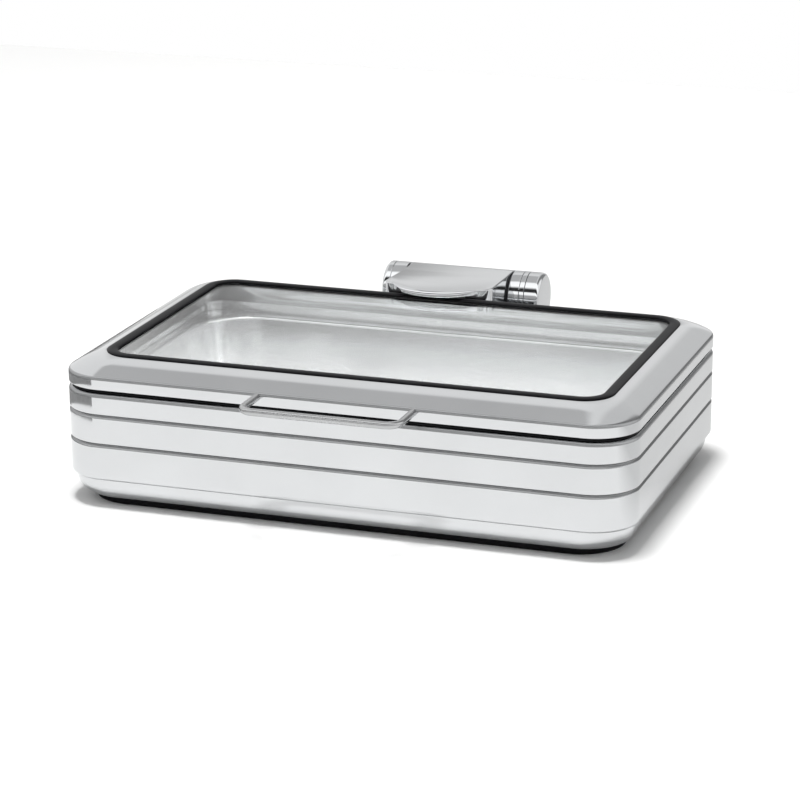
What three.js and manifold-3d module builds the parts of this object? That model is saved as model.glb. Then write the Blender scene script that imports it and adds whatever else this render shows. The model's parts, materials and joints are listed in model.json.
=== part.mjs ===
// Chafing dish with a ribbed steel body, a food pan in a water pan, and a glass lid on a damped barrel hinge.
// Units are millimetres and +Z is up. The origin is on the table, under the middle of the whole part's box.

import * as THREE from 'three';
import { mergeVertices } from 'three/addons/utils/BufferGeometryUtils.js';
import Module from 'manifold-3d';

const wasm = await Module();
wasm.setup();

// Driving dimensions

// Standard full-size food pan, which the whole dish is sized round
const foodPanWidth = 530;
const foodPanDepth = 325;
const foodPanCorner = 20;
const foodPanHeight = 65;
const foodPanFlange = 12;
const foodPanMouthCorner = 60;
const foodPanDraft = 9;
const foodPanHeel = 8;
const foodPanRecess = 11.9;

// Rim of the body and the lid, seen from above
const rimMarginX = 15;
const rimMarginY = 18.5;
const rimWidth = foodPanWidth + 2 * rimMarginX;
const rimDepth = foodPanDepth + 2 * rimMarginY;
const rimCorner = 44;
const leastCorner = 1;

// Gaps between pieces, how far a cutting tool runs past what it cuts, and how near two points count as one
const seatGap = 0.3;
const cutOverrun = 2;
const weldDistance = 1e-4;

// Sheet the pieces are pressed from
const shellSheet = 1.2;
const panSheet = 1;

// Body, from the table up
const footHeight = 5.7;
const footWidth = 5;
const footInset = 17.5;
const footCornerGain = 17;
const shellHeight = 107.2;
const bowlInset = 12.5;
const bowlRise = 21;
const stepInset = 4.5;
const stepRise = 4.5;
const bottomFlange = 13.5;
const basePlateSheet = 1.2;
const basePlateInset = 20;
const grooveHeights = [56.6, 85.2];
const grooveOpening = 4;
const grooveFloor = 1.5;
const grooveDepth = 1.9;
const rimRound = 4;
const rimLand = 1;
const joggleDepth = 1.8;

// Water pan that holds the food pan, and the plate under it
const recessGap = 1;
const ledgeWidth = 10;
const ledgeCorner = 50;
const waterPanDraft = 2;
const waterPanHeel = 8;
const inductionWidth = 420;
const inductionDepth = 220;
const inductionCorner = 30;
const inductionThickness = 4;

// Seal between the body and the lid
const gasketHeight = 3.2;
const gasketInset = 3;
const gasketWidth = 7.5;

// Lid, from its lower edge up
const fasciaFlat = 9.4;
const fasciaHem = 6;
const shoulderRadius = 4;
const slopeRise = 11.1;
const windowMarginX = 35;
const windowMarginFront = 39.4;
const windowMarginRear = 33.6;
const windowCorner = 25;
const glassThickness = 4;
const glassDrop = 0.8;
const sealHalfWidth = 5.25;
const sealGrip = 3.75;
const sealCrown = 1.8;
const sealSkirt = 1.7;
const sealSkirtInset = 0.75;
const sealWeb = 1.2;
const linerSheet = 1;
const linerDrop = 3.5;
const linerInset = 24;
const linerUpright = 11.4;

// Handle on the front of the lid
const handleSpan = 152;
const handleMiddleX = 2;
const handleReach = 44;
const handleRodRadius = 3.5;
const handleBend = 13;
const handleRise = 8.7;
const handleScrewRadius = 1.5;
const handleScrewHead = 2.5;
const handleScrewGrip = 9;

// Hinge behind the body
const hingeRadius = 26.5;
const hingeLeftReach = 88;
const hingeSetback = 50;
const hingeRise = 10;
const boreRadius = 20.3;
const shaftRadius = 5;
const shaftSocket = 4;
const capRound = 4.5;
const leftCapLength = 8.5;
const leftKnuckleLength = 14.2;
const washerThickness = 1.4;
const washerStep = 1.5;
const coverLength = 110.5;
const rightKnuckleLength = 10.7;
const collarLength = 5.2;
const rightCapLength = 15.5;
const bushLength = 12;
const damperLength = 38;

// Plate and neck that join the middle of the hinge to the lid
const plateFall = 2;
const plateThickness = 6;
const plateEdge = 2;
const plateBulge = 20;
const plateCorner = 12;
const plateFlareLeft = 8;
const plateTaperRight = 2.5;
const neckSealGap = 0.35;
const neckFoot = 3;
const coverScrewReach = 63;
const coverScrewSpacing = 60;
const coverScrewGrip = 8;

// Pads that carry the outer parts of the hinge on the body
const padWidth = 35;
const padHeight = 21;
const padThickness = 5;
const padBottom = 60.5;
const padScrewSpacing = 23;
const backingThickness = 3;
const backingMargin = 3;

// Round fasteners
const screwRadius = 2;
const screwHeadRadius = 3.5;
const screwHeadHeight = 2.2;

// Places of the base screws
const baseScrewX = 150;
const baseScrewInset = 26.5;

// Counts, angles and shares
const cornerSteps = 6;
const arcSteps = 3;
const bowlSteps = 5;
const plateSteps = 4;
const rodSides = 12;
const shoulderTurn = Math.PI / 3;
const slopeFullnessShare = 0.6;
const slopeShares = [0.2, 0.4, 0.6, 0.8, 1];
const armRootShare = 0.95;
const roundSides = 32;
const screwSides = 12;
const quarter = Math.PI / 2;

// Levels worked out from the sizes above
const shellBottom = footHeight + seatGap;
const shellTop = shellBottom + shellHeight;
const joggleTop = shellTop - joggleDepth;
const lidBottom = shellTop + seatGap + gasketHeight + seatGap;
const shoulderBottom = lidBottom + fasciaFlat;
const shoulderInset = shoulderRadius * (1 - Math.cos(shoulderTurn));
const shoulderTop = shoulderBottom + shoulderRadius * Math.sin(shoulderTurn);
const frameTop = shoulderTop + slopeRise;
const hingeY = rimDepth / 2 + hingeSetback;
const hingeZ = lidBottom + hingeRise;
const sealRear = rimDepth / 2 - windowMarginRear + sealHalfWidth;
const neckReach = hingeY - sealRear - neckSealGap;
const plateReach = neckReach + plateBulge;

// The whole part is moved so that its box is centred over the origin
const frontReach = rimDepth / 2 + handleReach + handleRodRadius;
const rearReach = hingeY + hingeRadius;
const middleShift = (frontReach - rearReach) / 2;

// Materials

const metal = (color, roughness) => new THREE.MeshStandardMaterial({ color, roughness, metalness: 1 });
const polishedSteel = () => metal(0xd6d8da, 0.12);
const satinSteel = () => metal(0xbfc2c5, 0.35);
const darkSteel = () => metal(0x8b8f93, 0.45);
const blackRubber = () => new THREE.MeshStandardMaterial({ color: 0x141414, roughness: 0.75, metalness: 0 });
const greyPlastic = () => new THREE.MeshStandardMaterial({ color: 0x3a3c3e, roughness: 0.5, metalness: 0 });
const clearGlass = () => new THREE.MeshStandardMaterial({
  color: 0xf2f7f6, roughness: 0.02, metalness: 0, transparent: true, opacity: 0.25,
});

// Outlines seen from above

function outline(width, depth, corner, middleY = 0) {
  return { width, depth, corner, middleY };
}

// The same outline moved out, or in by a negative amount. Its corners never close up altogether.
function grown(shape, by) {
  const corner = Math.max(shape.corner + by, leastCorner);
  return outline(shape.width + 2 * by, shape.depth + 2 * by, corner, shape.middleY);
}

function between(start, end, share) {
  const mix = (key) => start[key] + (end[key] - start[key]) * share;
  return outline(mix('width'), mix('depth'), mix('corner'), mix('middleY'));
}

// Points of a rounded rectangle at one height
function ringAt(shape, height) {
  const points = [];
  const reachX = shape.width / 2 - shape.corner;
  const reachY = shape.depth / 2 - shape.corner;
  const corners = [[1, 1], [-1, 1], [-1, -1], [1, -1]];
  corners.forEach(([sideX, sideY], index) => {
    for (let step = 0; step <= cornerSteps; step += 1) {
      const angle = quarter * (index + step / cornerSteps);
      points.push(new THREE.Vector3(
        sideX * reachX + shape.corner * Math.cos(angle),
        shape.middleY + sideY * reachY + shape.corner * Math.sin(angle),
        height,
      ));
    }
  });
  return points;
}

// Solids

// Joins rings that have the same count of points. It closes on itself or ends in two faces.
function loft(rings, closesOnItself) {
  const count = rings[0].length;
  const positions = [];
  rings.forEach((ring) => ring.forEach((point) => positions.push(point.x, point.y, point.z)));
  const index = [];
  const spans = closesOnItself ? rings.length : rings.length - 1;
  for (let span = 0; span < spans; span += 1) {
    const low = span * count;
    const high = ((span + 1) % rings.length) * count;
    for (let k = 0; k < count; k += 1) {
      const next = (k + 1) % count;
      index.push(low + k, low + next, high + next);
      index.push(low + k, high + next, high + k);
    }
  }
  if (!closesOnItself) {
    const last = (rings.length - 1) * count;
    for (let k = 1; k < count - 1; k += 1) {
      index.push(0, k + 1, k);
      index.push(last, last + k, last + k + 1);
    }
  }
  const geometry = new THREE.BufferGeometry();
  geometry.setAttribute('position', new THREE.Float32BufferAttribute(positions, 3));
  geometry.setIndex(index);
  return facesOut(geometry);
}

// Turns every triangle over if the faces of a closed mesh point inwards
function facesOut(geometry) {
  const place = geometry.getAttribute('position');
  const index = geometry.getIndex();
  const [a, b, c] = [new THREE.Vector3(), new THREE.Vector3(), new THREE.Vector3()];
  let volume = 0;
  for (let k = 0; k < index.count; k += 3) {
    a.fromBufferAttribute(place, index.getX(k));
    b.fromBufferAttribute(place, index.getX(k + 1));
    c.fromBufferAttribute(place, index.getX(k + 2));
    volume += a.dot(b.cross(c));
  }
  if (volume < 0) {
    for (let k = 0; k < index.count; k += 3) {
      const second = index.getX(k + 1);
      index.setX(k + 1, index.getX(k + 2));
      index.setX(k + 2, second);
    }
  }
  return geometry;
}

// A list of [outline, height] pairs becomes a closed ring or a solid with end faces
const ringFrom = (levels) => loft(levels.map(([shape, height]) => ringAt(shape, height)), true);
const stackFrom = (levels) => loft(levels.map(([shape, height]) => ringAt(shape, height)), false);

// A profile of [Y, Z] points drawn out along X between two places
function alongX(profile, fromX, toX) {
  const shape = new THREE.Shape(profile.map(([y, z]) => new THREE.Vector2(y, z)));
  const geometry = new THREE.ExtrudeGeometry(shape, { depth: toX - fromX, bevelEnabled: false });
  const turned = new THREE.Matrix4().makeBasis(
    new THREE.Vector3(0, 1, 0),
    new THREE.Vector3(0, 0, 1),
    new THREE.Vector3(1, 0, 0),
  );
  return geometry.applyMatrix4(turned).translate(fromX, 0, 0);
}

// A profile of [radius, distance] points turned round the hinge axis
function roundHinge(profile, sides = roundSides) {
  const geometry = new THREE.LatheGeometry(profile.map(([r, x]) => new THREE.Vector2(r, x)), sides);
  return geometry.rotateZ(-quarter).translate(0, hingeY, hingeZ);
}

// A flat-ended sleeve round the hinge axis
function hingeSleeve(innerRadius, outerRadius, fromX, toX, sides = roundSides) {
  return roundHinge([
    [innerRadius, fromX], [outerRadius, fromX], [outerRadius, toX], [innerRadius, toX], [innerRadius, fromX],
  ], sides);
}

function cylinder(radius, length, sides = screwSides) {
  return new THREE.CylinderGeometry(radius, radius, length, sides);
}

function toSolid(geometry) {
  const bare = geometry.clone();
  bare.deleteAttribute('normal');
  bare.deleteAttribute('uv');
  const merged = mergeVertices(bare, weldDistance);
  const index = Array.from(merged.getIndex().array);
  const kept = [];
  for (let k = 0; k < index.length; k += 3) {
    const [a, b, c] = index.slice(k, k + 3);
    if (a !== b && b !== c && c !== a) kept.push(a, b, c);
  }
  return new wasm.Manifold(new wasm.Mesh({
    numProp: 3,
    vertProperties: new Float32Array(merged.getAttribute('position').array),
    triVerts: new Uint32Array(kept),
  }));
}

function toGeometry(solid) {
  const mesh = solid.getMesh();
  const geometry = new THREE.BufferGeometry();
  geometry.setAttribute('position', new THREE.Float32BufferAttribute(mesh.vertProperties, 3));
  geometry.setIndex(Array.from(mesh.triVerts));
  return geometry;
}

const joined = (geometries) => toGeometry(geometries.map(toSolid).reduce((sum, solid) => sum.add(solid)));
const cut = (geometry, tools) => (
  toGeometry(tools.map(toSolid).reduce((rest, tool) => rest.subtract(tool), toSolid(geometry)))
);

function box(low, high) {
  const size = new THREE.Vector3().subVectors(high, low);
  const middle = new THREE.Vector3().addVectors(low, high).multiplyScalar(0.5);
  return new THREE.BoxGeometry(size.x, size.y, size.z).translate(middle.x, middle.y, middle.z);
}

const part = new THREE.Group();
part.position.y = middleShift;

function addPiece(name, geometry, material) {
  const mesh = new THREE.Mesh(geometry, material);
  mesh.name = name;
  part.add(mesh);
  return mesh;
}

// Screw with its head on the +Y side and the bearing face of the head at the origin
function screwAlongY(shankLength, shankRadius = screwRadius, headRadius = screwHeadRadius) {
  const profile = [
    [0, -shankLength],
    [shankRadius, -shankLength],
    [shankRadius, 0],
    [headRadius, 0],
    [headRadius, screwHeadHeight],
    [0, screwHeadHeight],
  ];
  return new THREE.LatheGeometry(profile.map(([r, y]) => new THREE.Vector2(r, y)), screwSides);
}

const rim = outline(rimWidth, rimDepth, rimCorner);
const inRim = (inset) => grown(rim, -inset);

// The foot has rounder corners than the rim
const footRim = outline(rimWidth, rimDepth, rimCorner + footCornerGain);
const inFoot = (inset) => grown(footRim, -inset);

// Places along the hinge, from its left end to its right end, with a running gap after each piece

const hingeLengths = {
  leftCap: leftCapLength,
  leftKnuckle: leftKnuckleLength,
  leftWasher: washerThickness,
  cover: coverLength,
  rightWasher: washerThickness,
  rightKnuckle: rightKnuckleLength,
  collar: collarLength,
  rightCap: rightCapLength,
};
const hingePlaces = {};
let nextPlace = -hingeLeftReach;
Object.entries(hingeLengths).forEach(([name, length]) => {
  hingePlaces[name] = { from: nextPlace, to: nextPlace + length, middle: nextPlace + length / 2 };
  nextPlace += length + seatGap;
});

// Places of the fasteners, needed by the pieces they go through

const holeRadius = screwRadius + seatGap;
const padScrewZ = shellBottom + padBottom + padHeight / 2;
const padMiddles = { left: hingePlaces.leftKnuckle.middle, right: hingePlaces.rightKnuckle.middle };
const padScrewPlaces = Object.values(padMiddles).flatMap((middle) => (
  [middle - padScrewSpacing / 2, middle + padScrewSpacing / 2]
));
const baseScrewPlaces = [[1, 1], [-1, 1], [-1, -1], [1, -1]].map(([sideX, sideY]) => (
  [sideX * baseScrewX, sideY * (rimDepth / 2 - baseScrewInset)]
));

function padHoles() {
  const length = 2 * (padThickness + shellSheet + backingThickness + cutOverrun);
  return padScrewPlaces.map((x) => cylinder(holeRadius, length).translate(x, rimDepth / 2, padScrewZ));
}

function baseHoles() {
  const length = 2 * (shellSheet + basePlateSheet + cutOverrun);
  return baseScrewPlaces.map(([x, y]) => (
    cylinder(holeRadius, length).rotateX(quarter).translate(x, y, shellBottom + shellSheet)
  ));
}

// Body shell: one pressed wall with a bowl-shaped foot, two grooves and a rolled top edge

// The wall's side from the bottom up, as [outline, height] pairs. A sheet thickness gives its inner face.
function shellSide(sheet) {
  const levels = [];
  for (let step = 0; step <= bowlSteps; step += 1) {
    const angle = quarter * (step / bowlSteps);
    const footShare = 1 - Math.sin(angle);
    const inset = stepInset + bowlInset * footShare + sheet * Math.sin(angle);
    const height = shellBottom + bowlRise * (1 - Math.cos(angle)) + sheet * Math.cos(angle);
    levels.push([between(inRim(inset), inFoot(inset), footShare), height]);
  }
  const stepBottom = shellBottom + bowlRise;
  const halfwayInset = stepInset * (1 - Math.sin(quarter / 2));
  levels.push([inRim(halfwayInset + sheet), stepBottom + stepRise * (1 - Math.cos(quarter / 2))]);
  levels.push([inRim(sheet), stepBottom + stepRise]);
  grooveHeights.forEach((height) => {
    const middle = shellBottom + height;
    levels.push([inRim(sheet), middle - grooveOpening / 2]);
    levels.push([inRim(sheet + grooveDepth), middle - grooveFloor / 2]);
    levels.push([inRim(sheet + grooveDepth), middle + grooveFloor / 2]);
    levels.push([inRim(sheet), middle + grooveOpening / 2]);
  });
  return levels;
}

const recess = outline(
  foodPanWidth + 2 * recessGap,
  foodPanDepth + 2 * recessGap,
  foodPanCorner + recessGap,
);
const shellMouth = grown(recess, panSheet + seatGap);

function bodyShell() {
  const rimEdge = [];
  for (let step = 0; step <= arcSteps; step += 1) {
    const angle = quarter * (step / arcSteps);
    rimEdge.push([inRim(rimRound * (1 - Math.cos(angle))), shellTop - rimRound * (1 - Math.sin(angle))]);
  }
  const landInset = rimRound + rimLand;
  const flangeEnd = stepInset + bowlInset + bottomFlange;
  const levels = [
    ...shellSide(0),
    ...rimEdge,
    [inRim(landInset), shellTop],
    [inRim(landInset), joggleTop],
    [shellMouth, joggleTop],
    [shellMouth, joggleTop - shellSheet],
    [inRim(shellSheet), joggleTop - shellSheet],
    ...shellSide(shellSheet).reverse(),
    [inFoot(flangeEnd), shellBottom + shellSheet],
    [inFoot(flangeEnd), shellBottom],
  ];
  return cut(ringFrom(levels), [...padHoles(), ...baseHoles()]);
}

addPiece('body_shell', bodyShell(), polishedSteel());

// Foot ring under the shell's turned-in flange

function footRing() {
  const outerFace = inFoot(footInset);
  const innerFace = inFoot(footInset + footWidth);
  return ringFrom([[outerFace, 0], [outerFace, footHeight], [innerFace, footHeight], [innerFace, 0]]);
}

addPiece('foot_ring', footRing(), blackRubber());

// Base plate on the flange, its screws, and the thick plate that an induction hob heats

const basePlateBottom = shellBottom + shellSheet + seatGap;
const basePlateTop = basePlateBottom + basePlateSheet;

function basePlate() {
  const edge = inFoot(basePlateInset);
  const plate = stackFrom([[edge, basePlateBottom], [edge, basePlateTop]]);
  return cut(plate, baseHoles());
}

addPiece('base_plate', basePlate(), satinSteel());

baseScrewPlaces.forEach(([x, y], index) => {
  const shankLength = seatGap + shellSheet + seatGap + basePlateSheet;
  const screw = screwAlongY(shankLength).rotateX(-quarter).translate(x, y, shellBottom - seatGap);
  addPiece(`base_screw_${index + 1}`, screw, darkSteel());
});

const inductionBottom = basePlateTop + seatGap;
const inductionTop = inductionBottom + inductionThickness;
const inductionOutline = outline(inductionWidth, inductionDepth, inductionCorner);
addPiece(
  'induction_plate',
  stackFrom([[inductionOutline, inductionBottom], [inductionOutline, inductionTop]]),
  darkSteel(),
);

// Water pan: a cup with a ledge for the food pan and a flange on the shell's joggle

const waterPanBottom = inductionTop + seatGap;
const waterPanTop = joggleTop + seatGap + panSheet;
const ledgeTop = shellTop - foodPanRecess - panSheet - seatGap;
const ledgeMouth = outline(recess.width - 2 * ledgeWidth, recess.depth - 2 * ledgeWidth, ledgeCorner);
const waterPanFlange = inRim(rimRound + rimLand + seatGap);

function waterPan() {
  const heelTop = waterPanBottom + panSheet + waterPanHeel;
  const wallFoot = grown(ledgeMouth, -waterPanDraft);
  const floorEdge = grown(wallFoot, -waterPanHeel);
  const midHeel = grown(wallFoot, -waterPanHeel * (1 - Math.sin(quarter / 2)));
  const midRise = waterPanHeel * (1 - Math.cos(quarter / 2));
  return stackFrom([
    [floorEdge, waterPanBottom],
    [grown(midHeel, panSheet), waterPanBottom + midRise],
    [grown(wallFoot, panSheet), heelTop],
    [grown(ledgeMouth, panSheet), ledgeTop - panSheet],
    [grown(recess, panSheet), ledgeTop - panSheet],
    [grown(recess, panSheet), waterPanTop - panSheet],
    [waterPanFlange, waterPanTop - panSheet],
    [waterPanFlange, waterPanTop],
    [recess, waterPanTop],
    [recess, ledgeTop],
    [ledgeMouth, ledgeTop],
    [wallFoot, heelTop],
    [midHeel, waterPanBottom + panSheet + midRise],
    [floorEdge, waterPanBottom + panSheet],
  ]);
}

addPiece('water_pan', waterPan(), satinSteel());

// Food pan: its flange rests on the ledge

const foodPanTop = ledgeTop + seatGap + panSheet;
const foodPanOutline = outline(foodPanWidth, foodPanDepth, foodPanCorner);
const foodPanMouth = outline(
  foodPanWidth - 2 * foodPanFlange,
  foodPanDepth - 2 * foodPanFlange,
  foodPanMouthCorner,
);

function foodPan() {
  const floorTop = foodPanTop - foodPanHeight;
  const heelTop = floorTop + foodPanHeel;
  const wallFoot = grown(foodPanMouth, -foodPanDraft);
  const floorEdge = grown(wallFoot, -foodPanHeel);
  const midHeel = grown(wallFoot, -foodPanHeel * (1 - Math.sin(quarter / 2)));
  const midRise = foodPanHeel * (1 - Math.cos(quarter / 2));
  const lipRound = 2 * panSheet;
  return stackFrom([
    [floorEdge, floorTop - panSheet],
    [grown(midHeel, panSheet), floorTop - panSheet + midRise],
    [grown(wallFoot, panSheet), heelTop],
    [grown(foodPanMouth, panSheet - lipRound / 2), foodPanTop - panSheet - lipRound],
    [grown(foodPanMouth, panSheet), foodPanTop - panSheet],
    [foodPanOutline, foodPanTop - panSheet],
    [foodPanOutline, foodPanTop],
    [foodPanMouth, foodPanTop],
    [grown(foodPanMouth, -lipRound / 2), foodPanTop - lipRound],
    [wallFoot, heelTop],
    [midHeel, floorTop + midRise],
    [floorEdge, floorTop],
  ]);
}

addPiece('food_pan', foodPan(), polishedSteel());

// Gasket between the body's rim and the lid

function rimGasket() {
  const bottom = shellTop + seatGap;
  const top = bottom + gasketHeight;
  const outerFace = inRim(gasketInset);
  const innerFace = inRim(gasketInset + gasketWidth);
  const crown = inRim(gasketInset + gasketWidth / 2);
  const edgeTop = bottom + gasketHeight / 2;
  return ringFrom([
    [outerFace, bottom],
    [outerFace, edgeTop],
    [crown, top],
    [innerFace, edgeTop],
    [innerFace, bottom],
  ]);
}

addPiece('rim_gasket', rimGasket(), blackRubber());

// Lid frame: a pressed frame with an upright fascia and a rounded slope up to the window

const windowLine = outline(
  rimWidth - 2 * windowMarginX,
  rimDepth - windowMarginFront - windowMarginRear,
  windowCorner,
  (windowMarginFront - windowMarginRear) / 2,
);
const aroundWindow = (offset) => grown(windowLine, offset);
const sealOuter = aroundWindow(sealHalfWidth);
const slopeHeight = (share) => shoulderTop + slopeRise * share * (1 + slopeFullnessShare * (1 - share));

// Height of the slope's upper face at a place behind the window
function rearSlopeAt(y) {
  const from = rimDepth / 2 - shoulderInset;
  return slopeHeight((from - y) / (from - sealRear));
}

// The frame's shoulder and slope, from the fascia up to the seal, as [outline, height] pairs
function lidSlope(sheet) {
  const levels = [];
  const radius = shoulderRadius - sheet;
  for (let step = 0; step <= arcSteps; step += 1) {
    const angle = shoulderTurn * (step / arcSteps);
    const inset = shoulderRadius - radius * Math.cos(angle);
    levels.push([inRim(inset), shoulderBottom + radius * Math.sin(angle)]);
  }
  slopeShares.forEach((share) => {
    levels.push([between(inRim(shoulderInset), sealOuter, share), slopeHeight(share) - sheet]);
  });
  return levels;
}

const handleZ = lidBottom + handleRise;
const handleEnds = [handleMiddleX - handleSpan / 2, handleMiddleX + handleSpan / 2];
const coverScrewY = hingeY - coverScrewReach;
const coverScrewPlaces = [-coverScrewSpacing / 2, coverScrewSpacing / 2].map((x) => (
  hingePlaces.cover.middle + x
));
const coverScrewFace = rearSlopeAt(coverScrewY + screwHeadRadius) - shellSheet - seatGap;
const coverScrewShank = rearSlopeAt(coverScrewY) + coverScrewGrip - coverScrewFace;

function handleHoles() {
  const length = 2 * (shoulderRadius + cutOverrun);
  return handleEnds.map((x) => (
    cylinder(handleScrewRadius + seatGap, length).translate(x, -rimDepth / 2, handleZ)
  ));
}

function coverScrewHoles() {
  const length = coverScrewShank + seatGap + cutOverrun;
  const middle = coverScrewFace - cutOverrun + length / 2;
  return coverScrewPlaces.map((x) => (
    cylinder(holeRadius, length).rotateX(quarter).translate(x, coverScrewY, middle)
  ));
}

function lidFrame() {
  const lipEnd = aroundWindow(sealHalfWidth - sealGrip);
  const levels = [
    [inRim(0), lidBottom],
    ...lidSlope(0),
    [lipEnd, frameTop],
    [lipEnd, frameTop - shellSheet],
    ...lidSlope(shellSheet).reverse(),
    [inRim(shellSheet), lidBottom + shellSheet],
    [inRim(fasciaHem), lidBottom + shellSheet],
    [inRim(fasciaHem), lidBottom],
  ];
  return cut(ringFrom(levels), [...handleHoles(), ...coverScrewHoles()]);
}

addPiece('lid_frame', lidFrame(), polishedSteel());

// Window glass, and the seal that grips the glass on its inner side and the frame's lip on its outer side

const glassEdge = aroundWindow(-sealWeb - seatGap);
const glassTop = frameTop - glassDrop;
const glassBottom = glassTop - glassThickness;
addPiece('window_glass', stackFrom([[glassEdge, glassBottom], [glassEdge, glassTop]]), clearGlass());

const sealBottom = glassBottom - seatGap - sealSkirt;

function windowSeal() {
  const lipTop = frameTop + seatGap;
  const lipBottom = frameTop - shellSheet - seatGap;
  const skirt = sealHalfWidth - sealSkirtInset;
  const crownSide = sealHalfWidth - sealCrown / 2;
  return ringFrom([
    [aroundWindow(sealHalfWidth), lipTop],
    [aroundWindow(crownSide), frameTop + sealCrown / 2 + seatGap],
    [aroundWindow(0), frameTop + sealCrown],
    [aroundWindow(-crownSide), frameTop + sealCrown / 2 + seatGap],
    [aroundWindow(-sealHalfWidth), lipTop],
    [aroundWindow(-sealHalfWidth), glassTop + seatGap],
    [aroundWindow(-sealWeb), glassTop + seatGap],
    [aroundWindow(-sealWeb), glassBottom - seatGap],
    [aroundWindow(-skirt), glassBottom - seatGap],
    [aroundWindow(-skirt), sealBottom],
    [aroundWindow(sealWeb), sealBottom],
    [aroundWindow(skirt), lipBottom - sealSkirt],
    [aroundWindow(skirt), lipBottom],
    [aroundWindow(sealWeb), lipBottom],
    [aroundWindow(sealWeb), lipTop],
  ]);
}

addPiece('window_seal', windowSeal(), blackRubber());

// Lid liner: a channel that stands on the frame's hem, with an inner wall up to the seal

function lidLiner() {
  const flangeBottom = lidBottom + shellSheet + seatGap;
  const bottom = lidBottom - linerDrop;
  const top = sealBottom - seatGap;
  const wallTop = aroundWindow(-sealHalfWidth + sealSkirtInset + linerSheet);
  return ringFrom([
    [inRim(shellSheet + seatGap), flangeBottom],
    [inRim(shellSheet + seatGap), flangeBottom + linerSheet],
    [inRim(linerUpright + linerSheet), flangeBottom + linerSheet],
    [inRim(linerUpright + linerSheet), bottom + linerSheet],
    [inRim(linerInset - linerSheet), bottom + linerSheet],
    [wallTop, top],
    [grown(wallTop, -linerSheet), top],
    [inRim(linerInset), bottom],
    [inRim(linerUpright), bottom],
    [inRim(linerUpright), flangeBottom],
  ]);
}

addPiece('lid_liner', lidLiner(), satinSteel());

// Handle: one round rod bent twice, held by a screw in each end

// The lid's outer shape grown by the gap, for cutting pieces that are fitted to it
function lidBlank() {
  return stackFrom([
    [inRim(-seatGap), lidBottom - cutOverrun],
    ...lidSlope(0).map(([shape, height]) => [grown(shape, seatGap), height + seatGap]),
  ]);
}

// Stations of the rod's middle line as { x, y, heading }, where the heading is the angle it runs at
function handleStations() {
  const [left, right] = handleEnds;
  const fascia = -rimDepth / 2 + shoulderRadius;
  const front = -rimDepth / 2 - handleReach;
  const stations = [{ x: left, y: fascia, heading: -quarter }];
  for (let step = 0; step <= cornerSteps; step += 1) {
    const turn = quarter * (step / cornerSteps);
    stations.push({
      x: left + handleBend * (1 - Math.cos(turn)),
      y: front + handleBend * (1 - Math.sin(turn)),
      heading: turn - quarter,
    });
  }
  for (let step = 0; step <= cornerSteps; step += 1) {
    const turn = quarter * (step / cornerSteps);
    stations.push({
      x: right - handleBend * (1 - Math.sin(turn)),
      y: front + handleBend * (1 - Math.cos(turn)),
      heading: turn,
    });
  }
  stations.push({ x: right, y: fascia, heading: quarter });
  return stations;
}

function handleRod() {
  const rings = handleStations().map(({ x, y, heading }) => {
    const ring = [];
    for (let side = 0; side < rodSides; side += 1) {
      const angle = 4 * quarter * (side / rodSides);
      const across = handleRodRadius * Math.cos(angle);
      ring.push(new THREE.Vector3(
        x - across * Math.sin(heading),
        y + across * Math.cos(heading),
        handleZ + handleRodRadius * Math.sin(angle),
      ));
    }
    return ring;
  });
  const depth = handleScrewGrip + seatGap;
  const length = depth + shoulderRadius + cutOverrun;
  const socketY = -rimDepth / 2 - seatGap - depth + length / 2;
  const sockets = handleEnds.map((x) => (
    cylinder(handleScrewRadius + seatGap, length).translate(x, socketY, handleZ)
  ));
  return cut(loft(rings, false), [lidBlank(), ...sockets]);
}

addPiece('handle', handleRod(), polishedSteel());

// The heads bear on the inside of the shoulder, where its curve comes nearest to their upper edge
handleEnds.forEach((x, index) => {
  const headReach = handleZ + handleScrewHead - shoulderBottom;
  const innerRadius = shoulderRadius - shellSheet;
  const curveInset = shoulderRadius - Math.sqrt(Math.max(0, innerRadius ** 2 - headReach ** 2));
  const headInset = Math.max(shellSheet, curveInset) + seatGap;
  const shankLength = headInset + seatGap + handleScrewGrip;
  const screw = screwAlongY(shankLength, handleScrewRadius, handleScrewHead);
  screw.translate(x, -rimDepth / 2 + headInset, handleZ);
  addPiece(`handle_screw_${index + 1}`, screw, darkSteel());
});

// Hinge cover: one casting of the plate, the neck that stands on the slope, and the middle of the barrel

const plateTopAt = (y) => hingeZ + hingeRadius - plateFall * ((hingeY - y) / plateReach);

// How far the cover's sides lean to the left at a place, none at the barrel and most at the front
function sideLean(x, y) {
  const share = Math.max(0, hingeY - y - hingeRadius) / (plateReach - hingeRadius);
  const acrossShare = (x - hingePlaces.cover.from) / coverLength;
  return share * (plateFlareLeft + (plateTaperRight - plateFlareLeft) * acrossShare);
}

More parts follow.
